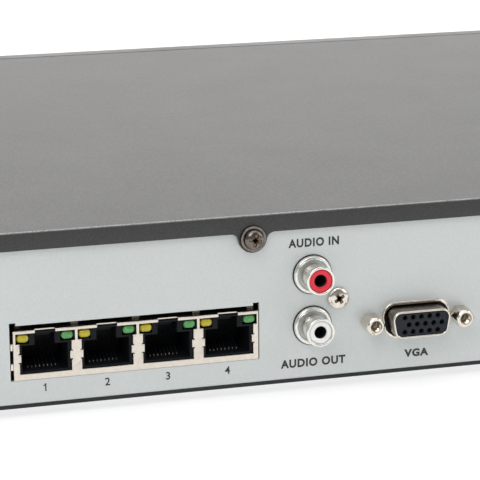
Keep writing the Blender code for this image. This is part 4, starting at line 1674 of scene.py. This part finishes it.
    def contacts(self, middle: float, route: Sequence[Point]) -> bpy.types.Mesh:
        """Build one stretch of a port's sprung contacts.

        Args:
            middle: The port's middle.
            route: Height above the opening's floor and depth of each bend.

        Returns:
            The contacts' mesh.
        """
        made = []
        for number in range(self.contact_count):
            x = middle - 0.5 + (number - (self.contact_count - 1) / 2) * self.contact_pitch
            points = [(x, self.floor + 0.1 + y, z) for y, z in route]
            made.append(wire(points, self.contact_radius, 1))
        return merged(*made)

    def lamps(self, middles: list[float]) -> None:
        """Build the two lenses above each port.

        Args:
            middles: Middle of each port.
        """
        for number, middle in enumerate(middles, 1):
            for side, word, finish in ((-1, "link_lamp", YELLOW), (1, "activity_lamp", GREEN)):
                x = middle + side * self.lamp_offset
                low = (x - 1.62, self.lamp_height - 1.1, -6.6)
                lens = block(low, (x + 1.62, self.lamp_height + 1.1, 0.05), 1.0, 6)
                node = f"{word}_{number}"
                nodes = (node,) if self.prefix == "poe" else ()
                self.rear.add(f"{self.prefix}_{node}_lens", lens, finish, *nodes)


@dataclass
class AudioJack:
    """A panel jack: a beaded flange, a plated sleeve, a coloured insulator and its bore."""

    rear: Bench
    word: str
    finish: Finish
    sleeve: float = 3.85
    barrel: float = 3.42
    bore: float = 1.66
    insulator: float = 3.05

    def build(self) -> None:
        """Build the sleeve, the insulator and the contact in its bore."""
        node = f"audio_{self.word}_shell"
        place = self.rear.centre(node)
        reach = self.rear.box(node)[1].z
        s, i = self.sleeve, self.insulator
        bead = [(5.12, 0.02), (5.14, 0.6), (5.06, 0.95), (4.9, 1.22), (4.66, 1.36), (4.36, 1.34)]
        bead += [(4.12, 1.16), (3.98, 0.9), (3.94, 0.1), (self.barrel, 0.1)]
        nose = [(self.barrel, reach - 1.5), (s - 0.1, reach - 1.25), (s, reach - 1.0), (s, reach - 0.3)]
        nose += [(s - 0.1, reach - 0.08), (s - 0.25, reach), (i + 0.2, reach), (i + 0.05, reach - 0.15)]
        profile = [(i + 0.05, -1.0), (self.barrel, -1.0), (self.barrel, 0.02)] + bead + nose
        shell = moved(turned(profile, 72), place.x, place.y)
        self.rear.add(f"audio_{self.word}_sleeve", shell, SATIN_NICKEL, node, smooth=50)
        b, face = self.bore, reach - 0.25
        rings = [(0, -1.0), (i, -1.0), (i, face - 0.25), (i - 0.2, face - 0.03), (i - 0.35, face)]
        rings += [(b + 0.3, face), (b + 0.08, face - 0.1), (b, face - 0.3), (b, 0.4), (0, 0.4)]
        ring = moved(turned(rings, 72), place.x, place.y)
        self.rear.add(f"audio_{self.word}_ring", ring, self.finish, f"audio_{self.word}_insulator", smooth=50)
        # dark ring around the bead: partly the jack body's rim, partly painted contact shadow
        seat = turned([(4.8, 0.01), (5.33, 0.01), (5.35, 0.2), (5.25, 0.3), (4.8, 0.3)], 72)
        groove = hoop(self.barrel - 0.1, 4.0, 0.05, 0.4, 72)
        self.rear.add(f"audio_{self.word}_seat", moved(seat, place.x, place.y), HOUSING)
        self.rear.add(f"audio_{self.word}_groove", moved(groove, place.x, place.y), ZINC)
        liner = turned([(b - 0.25, 0.45), (b - 0.02, 0.45), (b - 0.02, face - 0.45), (b - 0.25, face - 0.7)])
        self.rear.add(f"audio_{self.word}_liner", moved(liner, place.x, place.y), HOUSING)


@dataclass
class VideoSocket:
    """The 15-way video socket: a drawn D shell, an insert with its holes and two jackscrews."""

    rear: Bench
    width: float = 16.75
    height: float = 7.4
    corner: float = 2.2
    gap: Point = (19.05, 8.15)
    insert_gap: Point = (1.2, 1.25)
    hole: float = 0.68
    hole_pitch: float = 2.29
    row_pitch: float = 1.98

    def build(self) -> None:
        """Build the flange's lip, the shell, the insert and the jackscrews."""
        centre = self.rear.centre("video_insert")
        reach = self.rear.box("video_shell")[1].z
        rim = merged(self.shell(centre, reach), self.lip(centre))
        self.rear.add("video_shell_drawn", rim, NICKEL, "video_shell", smooth=60)
        # the outer wall in darker nickel: painted shade of the same shell
        self.rear.add("video_shell_wall_painted_shade", self.wall(centre, reach), BRONZE, smooth=60)
        # dark plate between the lip and the shell: painted shadow in the gap
        inner = d_shape(centre.x, centre.y - 0.1, self.width + 0.1, self.height + 0.1, self.corner)
        outer = d_shape(centre.x + LIP_OFFSET[0], centre.y + LIP_OFFSET[1], *self.gap, 3.1)
        self.rear.add("video_gap_painted_shadow", plate([outer, inner], -0.3, 0.05), HOUSING)
        across, tall = self.width - self.insert_gap[0], self.height - self.insert_gap[1]
        face = d_shape(centre.x, centre.y - 0.1, across, tall, 1.7)
        holes = [circle(centre.x + x, centre.y + y, self.hole, 20) for x, y in self.hole_places()]
        front = plate([face] + holes, reach - 1.7, reach - 0.35, 0.06)
        backing = plate([face], -3.0, reach - 1.7)
        self.rear.add("video_insert_face", front, INSERT, "video_insert")
        self.rear.add("video_insert_back", backing, HOUSING)
        for word in ("left", "right"):
            node = f"video_jackscrew_{word}"
            place = self.rear.centre(node)
            nut = moved(self.jackscrew(self.rear.box(node)[1].z), place.x, place.y)
            self.rear.add(node + "_threaded", nut, NICKEL, node)

    def hole_places(self) -> list[Point]:
        """Return the 15 contact holes about the socket's middle, the middle row half a pitch across.

        Returns:
            The holes' places.
        """
        places = []
        for row in (-1, 0, 1):
            for column in range(-2, 3):
                x = column * self.hole_pitch - 0.1 + (self.hole_pitch / 2 if row == 0 else 0)
                places.append((x, row * self.row_pitch - 0.1))
        return places

    def lip(self, centre: Vector) -> bpy.types.Mesh:
        """Build the raised lip around the shell's root.

        Args:
            centre: The socket's middle.

        Returns:
            The lip's mesh.
        """
        steps = (
            (20.3, 10.05, 3.7, 0.02),
            (20.3, 10.05, 3.7, 0.25),
            (20.1, 9.85, 3.6, 0.42),
            (19.7, 9.4, 3.4, 0.5),
            (19.2, 8.4, 3.2, 0.42),
            (19.1, 8.2, 3.1, 0.2),
            (19.1, 8.2, 3.1, -0.95),
        )
        x, y = centre.x + LIP_OFFSET[0], centre.y + LIP_OFFSET[1]
        return loft([[Vector((*p, out)) for p in d_shape(x, y, w, h, r)] for w, h, r, out in steps])

    def shell(self, centre: Vector, reach: float) -> bpy.types.Mesh:
        """Build the shell's rim and its inside.

        Args:
            centre: The socket's middle.
            reach: How far the rim stands out.

        Returns:
            The shell's mesh.
        """
        steps = (
            (0.0, 0.0, reach - 0.6),
            (0.0, 0.0, reach - 0.45),
            (-0.08, 0.0, reach - 0.22),
            (-0.25, -0.1, reach - 0.06),
            (-0.5, -0.2, reach),
            (-0.8, -0.3, reach),
            (-1.05, -0.4, reach - 0.1),
            (-1.15, -0.45, reach - 0.35),
            (-1.15, -0.45, -0.95),
        )
        return self.swept(centre, steps)

    def wall(self, centre: Vector, reach: float) -> bpy.types.Mesh:
        """Build the shell's outer wall, painted darker than its rim as the shell's shade."""
        return self.swept(centre, ((0.0, 0.0, -0.95), (0.0, 0.0, reach - 0.6)))

    def swept(self, centre: Vector, steps: Sequence[Sequence[float]]) -> bpy.types.Mesh:
        """Sweep the shell's outline through a few sections.

        Args:
            centre: The socket's middle.
            steps: Added size, added corner radius and height of each section.

        Returns:
            The swept mesh.
        """
        w, h, r = self.width, self.height, self.corner
        return loft([
            [Vector((*p, out)) for p in d_shape(centre.x, centre.y - 0.1, w + inset, h + inset, r + rounder)]
            for inset, rounder, out in steps
        ])

    @staticmethod
    def jackscrew(reach: float) -> bpy.types.Mesh:
        """Build one hexagonal jackscrew with a turned nose and a threaded bore.

        Args:
            reach: How far it stands out.

        Returns:
            The jackscrew's mesh.
        """
        prism = plate([circle(0, 0, 2.7, 6)], 0.05, reach)
        nose = [(0, -1), (2.75, -1), (2.75, reach - 1.0), (2.55, reach - 0.55), (2.25, reach - 0.15)]
        nose += [(2.05, reach), (1.75, reach + 0.01), (0, reach + 0.01)]
        bolt = combined(prism, [turned(nose, 36)], Solids.SHARED)
        thread = [(0, reach - 3.6), (1.2, reach - 3.6)]
        for turn in range(8):
            thread += [(1.22, reach - 3.4 + turn * 0.4), (1.42, reach - 3.2 + turn * 0.4)]
        thread += [(1.6, reach - 0.1), (1.75, reach + 0.2), (0, reach + 0.2)]
        return carved(bolt, turned(thread, 28))


@dataclass
class SlotSocket:
    """A small rectangular socket: a folded shell with a rolled mouth around a contact tongue."""

    bench: Bench
    prefix: str
    tongue_finish: Finish
    bevelled: bool = False
    contacts: int = 4
    sheet: float = 0.35

    def build(self) -> None:
        """Build the shell, the tongue and its contacts."""
        low, high = self.bench.box(f"{self.prefix}_shell")
        middle = (low + high) / 2
        outer = self.mouth(middle, high.x - low.x, high.y - low.y)
        inner = self.mouth(middle, high.x - low.x - 2 * self.sheet, high.y - low.y - 2 * self.sheet)
        shell = plate([outer, inner], low.z, high.z, 0.1)
        back = plate([inner], low.z, low.z + 0.4)
        self.bench.add(f"{self.prefix}_folded_shell", merged(shell, back), NICKEL, f"{self.prefix}_shell")
        low, high = self.bench.box(f"{self.prefix}_tongue")
        tongue = block(low, high, 0.2)
        self.bench.add(f"{self.prefix}_tongue_moulded", tongue, self.tongue_finish, f"{self.prefix}_tongue")
        span = (high.x - low.x) * 0.8
        strips = []
        for number in range(self.contacts):
            x = (low.x + high.x) / 2 + span * ((number + 0.5) / self.contacts - 0.5)
            half = span / self.contacts * 0.3
            end = (x + half, low.y + 0.1, high.z - 0.5)
            strips.append(block((x - half, low.y - 0.12, low.z + 1), end, 0.05, 1))
        self.bench.add(f"{self.prefix}_contacts", merged(*strips), GOLD)

    def mouth(self, middle: Vector, width: float, height: float) -> Outline:
        """Return the mouth's outline, rounded, with its lower corners cut where the socket has them.

        Args:
            middle: The socket's middle.
            width: Its width.
            height: Its height.

        Returns:
            The outline.
        """
        if not self.bevelled:
            return rounded(rectangle(middle.x, middle.y, width, height), 0.5, 3)
        half, rise, cut = width / 2, height / 2, height * 0.36
        corners = [(-half + 2.5, -rise), (half - 2.5, -rise), (half, -rise + cut), (half, rise)]
        return shifted(rounded(corners + [(-half, rise), (-half, -rise + cut)], 0.3, 3), middle.x, middle.y)


@dataclass
class PowerInlet:
    """The round low-voltage inlet: its collar, bore and centre pin."""

    rear: Bench

    def build(self) -> None:
        """Build the inlet."""
        pin = self.rear.centre("dc_pin")
        low, high = self.rear.box("dc_socket")
        collar = [(3.1, -9.0), (3.9, -9.0), (3.9, high.z - 0.25), (3.7, high.z), (3.3, high.z)]
        collar.append((3.1, high.z - 0.3))
        body = block((low.x, low.y, low.z), (high.x, high.y, -9.0), 0.4)
        body = merged(body, moved(turned(collar), pin.x, pin.y))
        self.rear.add("dc_socket_collar", body, HOUSING, "dc_socket")
        tip = self.rear.box("dc_pin")[1].z
        root = low.z + 5
        profile = [(0, root), (1.0, root), (1.0, tip - 0.35), (0.75, tip - 0.08), (0.5, tip), (0, tip)]
        self.rear.add("dc_pin_turned", moved(turned(profile, 28), pin.x, pin.y), NICKEL, "dc_pin")


@dataclass
class PowerSwitch:
    """The rocker switch with its snap-in frame and its on and off marks."""

    rear: Bench
    wall: float = 2.1
    pivot: float = -2.5
    tilt: float = 9.0
    crease: float = 4.3

    def build(self) -> None:
        """Build the frame and the rocker."""
        low, high = self.rear.box("power_switch_frame")
        middle = (low + high) / 2
        width, height = high.x - low.x, high.y - low.y
        outer = rounded(rectangle(middle.x, middle.y, width, height), 1.0)
        inside = rectangle(middle.x, middle.y, width - 2 * self.wall, height - 2 * self.wall - 0.2)
        inner = rounded(inside, 0.3)
        lip = plate([outer, inner], 0.05, high.z, 0.45)
        sleeve = plate([shrunk(outer, middle, 1.3), inner], -10.0, 0.5)
        self.rear.add("power_switch_bezel", merged(lip, sleeve), HOUSING, "power_switch_frame")
        self.rocker(middle)

    def rocker(self, middle: Vector) -> None:
        """Build the rocker about its pivot and print a bar and a ring on its two halves.

        Args:
            middle: The switch's middle.
        """
        place = Matrix.Translation(Vector((middle.x, middle.y, self.pivot)) * MM)
        seat = place @ Matrix.Rotation(math.radians(self.tilt), 4, "X")
        body = plate([mirrored([(3, -2.5), (7.6, 2.2), (7.6, 5.6), (0, self.crease)])], -5.4, 5.4, 0.4)
        body.transform(seat @ SIDEWAYS)
        self.rear.add("power_rocker_moulded", body, BEZEL, "power_rocker", body="rocker")
        slope = math.atan2(5.6 - self.crease, 7.6)
        for side, name, outlines in (
            (1, "on_mark", [rectangle(0, 0, 0.45, 3.2)]),
            (-1, "off_mark", [circle(0, 0, 1.6), circle(0, 0, 1.2)]),
        ):
            mark = plate(outlines, 0.0, 0.03)
            face = Matrix.Translation(Vector((0, side * 3.8, (5.6 + self.crease) / 2)) * MM)
            mark.transform(seat @ face @ Matrix.Rotation(side * slope, 4, "X"))
            self.rear.add(name, mark, PALE_INK, body="rocker")


@dataclass
class Lettering:
    """Plain labels printed on a face."""

    bench: Bench
    finish: Finish
    thickness: float = 0.02

    def write(
        self,
        name: str,
        words: str,
        place: Point,
        height: float,
        width: float = 0.0,
        weight: float = 0.05,
        spacing: float = 1.14,
    ) -> None:
        """Print words, with the middle of their baseline at a place.

        Args:
            name: The piece's name.
            words: What is printed.
            place: Middle of the baseline.
            height: Height of a capital.
            width: Width of the words, or 0 for the font's own.
            weight: How much the strokes are thickened, in shares of the height.
            spacing: Distance between letters, in shares of the font's own.
        """
        curve = bpy.data.curves.new(name, "FONT")
        curve.body = words
        curve.size = 1.0
        curve.offset = weight
        curve.space_character = spacing
        curve.resolution_u = 4
        mesh = evaluated_mesh(curve)
        points = [vertex.co for vertex in mesh.vertices]
        left, right = min(point.x for point in points), max(point.x for point in points)
        low, high = min(point.y for point in points), max(point.y for point in points)
        rise = height * MM / (high - low)
        across = width * MM / (right - left) if width else rise
        mesh.transform(Matrix.Translation((-(left + right) / 2, -low, 0)))
        mesh.transform(Matrix.Diagonal((across, rise, 1, 1)))
        mesh.transform(Matrix.Translation(Vector((*place, self.thickness)) * MM))
        self.bench.add(name, mesh, self.finish)


@dataclass
class RearPanel:
    """Everything that is fixed to the rear panel, with its labels."""

    rear: Bench
    label_height: float = 2.05
    label_line: float = 3.05

    def build(self) -> None:
        """Build the sockets, the screws, the switch and the labels."""
        JackBlock(self.rear, "poe", 4).build()
        JackBlock(self.rear, "lan", 1).build()
        AudioJack(self.rear, "in", RED).build()
        AudioJack(self.rear, "out", WHITE).build()
        self.rear.dress(HOUSING, "audio_jack_body")
        VideoSocket(self.rear).build()
        SlotSocket(self.rear, "digital_video", INSERT, bevelled=True, contacts=9).build()
        SlotSocket(self.rear, "usb_rear", WHITE).build()
        PowerInlet(self.rear).build()
        PowerSwitch(self.rear).build()
        self.panel_screws()
        self.labels()

    def panel_screws(self) -> None:
        """Add the screw that holds the audio jacks and the ground screw."""
        for node, washer in (("audio_panel_screw", 0.0), ("ground_screw", 4.0)):
            place = self.rear.centre(node)
            screw = CoverScrew(
                head_radius=2.85,
                head_height=1.45,
                washer_radius=washer,
                seat=0.02,
                recess_length=3.1,
                recess_depth=0.8,
            )
            self.rear.add(node + "_dressed", moved(screw.mesh(0.55), place.x, place.y), NICKEL, node)
            # dark cross deep in the recess: painted shade
            self.rear.add(node + "_grime", moved(screw.recess_shade_fill(0.55), place.x, place.y), RECESS_SHADE)

    def labels(self) -> None:
        """Print the port numbers and the plain names of the sockets."""
        print_on = Lettering(self.rear, INK)
        one = [(0.2, 0), (0.2, 2.1), (-0.02, 2.1), (-0.22, 1.82), (-0.58, 1.6), (-0.58, 1.32)]
        one += [(-0.13, 1.55), (-0.13, 0)]
        self.rear.add("label_port_1", plate([shifted(one[::-1], 8.0, 3.1)], 0.0, 0.02), INK)
        for number, x in ((2, 24.09), (3, 40.04), (4, 55.92)):
            print_on.write(f"label_port_{number}", str(number), (x, self.label_line), 2.1, weight=0.018)
        h, line = self.label_height, self.label_line
        print_on.write("label_audio_in", "AUDIO IN", (79.45, 35.45), h + 0.3, 13.75, weight=0.04)
        print_on.write("label_audio_out", "AUDIO OUT", (79.3, line), h + 0.3, 17.8, weight=0.042)
        print_on.write("label_video", "VGA", (108.06, line), h + 0.15, 6.8)
        for name, words, node in (
            ("label_digital_video", "HD OUT", "digital_video_shell"),
            ("label_usb", "USB", "usb_rear_shell"),
            ("label_lan", "LAN", "lan_shield"),
            ("label_dc", "DC IN", "dc_pin"),
        ):
            print_on.write(name, words, (self.rear.centre(node).x, line), h)


# --------------------------------------------------------------------------------------------------
# Front and inside


@dataclass
class FrontBezel:
    """The moulded front with its smoked window, indicator dots and USB socket."""

    front: Bench
    corner: float = 1.5

    def build(self) -> None:
        """Build the bezel and what it carries."""
        low, high = self.front.box("front_bezel")
        body = block(low, high, self.corner, 4)
        window_low, window_high = self.front.box("front_window")
        middle = (window_low + window_high) / 2
        width, height = window_high.x - window_low.x, window_high.y - window_low.y
        recess = plate([rounded(rectangle(middle.x, middle.y, width + 0.6, height + 0.6), 1.6)], -2.5, 1)
        usb = self.front.centre("usb_front_shell")
        hole = plate([rounded(rectangle(usb.x, usb.y, 14, 6.6), 0.6)], -12, 1)
        groove = plate([rectangle((low.x + high.x) / 2, 12.2, high.x - low.x - 24, 0.5)], -0.5, 1)
        body = carved(body, recess, hole, groove)
        self.front.add("bezel_moulding", body, BEZEL, "front_bezel")
        pane = plate([rounded(rectangle(middle.x, middle.y, width, height), 1.4)], -2.2, window_high.z, 0.25)
        self.front.add("window_pane", pane, WINDOW, "front_window")
        SlotSocket(self.front, "usb_front", WHITE).build()
        self.indicators(middle, width, window_high.z)

    def indicators(self, middle: Vector, width: float, face: float) -> None:
        """Add three indicator dots and their labels under the window's surface.

        Args:
            middle: The window's middle.
            width: Its width.
            face: Its surface.
        """
        for number, (words, finish) in enumerate((("POWER", GREEN), ("STATUS", YELLOW), ("DISK", GREEN))):
            x = middle.x + width / 2 - 12 - number * 15
            dot = turned([(0, face - 0.5), (0.8, face - 0.5), (0.8, face), (0, face + 0.1)], 24)
            self.front.add(f"indicator_{words.lower()}", moved(dot, x, middle.y + 2), finish)
            here = Lettering(Bench(self.front.matrix @ Matrix.Translation((0, 0, face * MM))), PALE_INK)
            here.write(f"label_{words.lower()}", words, (x, middle.y - 3.2), 1.4, weight=0.0)
        place = (self.front.centre("usb_front_shell").x, 8.8)
        Lettering(self.front, PALE_INK).write("label_front_usb", "USB", place, 1.6, weight=0.0)


@dataclass
class Inside:
    """What shows only through the vents: boards, drive, fan and cables."""

    case: Bench

    def build(self) -> None:
        """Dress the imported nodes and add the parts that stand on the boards."""
        case = self.case
        case.dress(BOARD, "main_board", "front_board", "drive_board")
        case.dress(ALUMINIUM, "heatsink", "drive_case", "drive_lid", "drive_actuator")
        case.dress(MIRROR, "drive_platter")
        case.dress(BEZEL, "fan_frame", "fan_rotor")
        case.dress(RED_SHEATH, "drive_data_cable")
        case.dress(BLACK_SHEATH, "drive_power_cable")
        self.board_parts()

    def board_parts(self) -> None:
        """Add chips and capacitors to the main board."""
        top = (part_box("main_board")[1] / MM).z
        chips = []
        for x, y, side, tall in (
            (-30, 70, 17, 1.4),
            (-60, 90, 12, 1.2),
            (60, 95, 14, 1.6),
            (95, 60, 10, 1.2),
        ):
            chips.append(block((x, y, top), (x + side, y + side, top + tall), 0.2, 1))
        self.case.add("board_chips", merged(*chips), HOUSING)
        can = turned([(0, 0), (3.9, 0), (4, 0.4), (3.7, 0.9), (4, 1.4), (4, 11.5), (3.6, 12), (0, 12)], 32)
        cans = [moved(can, x, y, top) for x, y in ((-100, 50), (-100, 62), (-88, 50), (120, 45), (120, 57))]
        self.case.add("board_capacitors", merged(*cans), ALUMINIUM)


# --------------------------------------------------------------------------------------------------
# Studio


@dataclass
class Studio:
    """The pale floor, the soft lights and the camera."""

    azimuth: float = 15.8036
    elevation: float = 14.2210
    roll: float = -0.4808
    distance: float = 563.41
    aim: Point = (59.613, 38.688)
    lens: float = 164.887
    sensor: float = 36.0
    floor_reach: float = 4000.0
    floor_depth: float = 20.0
    floor_gap: float = 0.02

    def build(self) -> None:
        """Build the floor, the lights and the camera."""
        self.floor()
        self.lights()
        self.camera()

    def floor(self) -> None:
        """Lay a large pale floor under the feet."""
        reach = self.floor_reach
        mesh = block((-reach, -reach, -self.floor_depth), (reach, reach, -self.floor_gap), 2.0)
        floor = bpy.data.objects.new("studio_floor", mesh)
        mesh.materials.append(FLOOR.material())
        bpy.context.scene.collection.objects.link(floor)

    def lights(self) -> None:
        """Hang soft lights and set the pale surroundings."""
        scene = bpy.context.scene
        scene.view_settings.view_transform = "Standard"
        world = bpy.data.worlds.new("studio")
        scene.world = world
        world.use_nodes = True
        tree = world.node_tree
        backdrop = tree.nodes["Background"]
        backdrop.inputs["Color"].default_value = (1.0, 1.0, 1.0, 1)
        direction = tree.nodes.new("ShaderNodeTexCoord")
        split = tree.nodes.new("ShaderNodeSeparateXYZ")
        fade = tree.nodes.new("ShaderNodeMapRange")
        for name, value in (("From Min", -0.7), ("From Max", 0.6), ("To Min", 0.98), ("To Max", 0.25)):
            fade.inputs[name].default_value = value
        tree.links.new(direction.outputs["Generated"], split.inputs["Vector"])
        tree.links.new(split.outputs["Y"], fade.inputs["Value"])
        tree.links.new(fade.outputs["Result"], backdrop.inputs["Strength"])
        white, warm = (1.0, 1.0, 1.0), (1.0, 0.975, 0.945)
        for name, place, size, power, colour in (
            ("key", (0.7, 1.0, 1.0), 0.8, 7.0, white),
            ("fill", (-1.1, 0.8, 0.7), 0.9, 4.5, white),
            ("top", (0.0, 0.35, 1.5), 1.4, 7.0, white),
            ("front", (-0.6, -2.9, 2.0), 3.0, 42.0, warm),
        ):
            light = bpy.data.lights.new(name, "AREA")
            light.shape = "SQUARE"
            light.size = size
            light.energy = power
            light.color = colour
            lamp = bpy.data.objects.new(name, light)
            lamp.location = place
            lamp.rotation_euler = (-Vector(place)).to_track_quat("-Z", "Y").to_euler()
            scene.collection.objects.link(lamp)

    def camera(self) -> None:
        """Place the camera behind and above the rear panel."""
        bench = rear_bench()
        azimuth, elevation = math.radians(self.azimuth), math.radians(self.elevation)
        back = Vector((
            math.sin(azimuth) * math.cos(elevation),
            math.cos(azimuth) * math.cos(elevation),
            math.sin(elevation),
        ))
        target = bench.matrix @ (Vector((*self.aim, 0)) * MM)
        data = bpy.data.cameras.new("camera")
        data.lens = self.lens
        data.sensor_width = self.sensor
        data.clip_start, data.clip_end = 0.01, 50
        camera = bpy.data.objects.new("camera", data)
        level = (-back).to_track_quat("-Z", "Y").to_matrix().to_4x4()
        camera.matrix_world = (
            Matrix.Translation(target + back * self.distance * MM)
            @ level
            @ Matrix.Rotation(math.radians(self.roll), 4, "Z")
        )
        bpy.context.scene.collection.objects.link(camera)
        bpy.context.scene.camera = camera


def main() -> None:
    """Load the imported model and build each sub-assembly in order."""
    logging.basicConfig(level=logging.INFO, format="%(name)s: %(message)s")
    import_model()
    rear, front, case = rear_bench(), front_bench(), case_bench()
    for assembly in (
        Chassis(rear, case),
        TopCover(rear, case),
        Foot(case),
        RearPanel(rear),
        FrontBezel(front),
        Inside(case),
        Studio(),
    ):
        LOG.info("building %s", type(assembly).__name__)
        assembly.build()


if __name__ == "__main__":
    main()
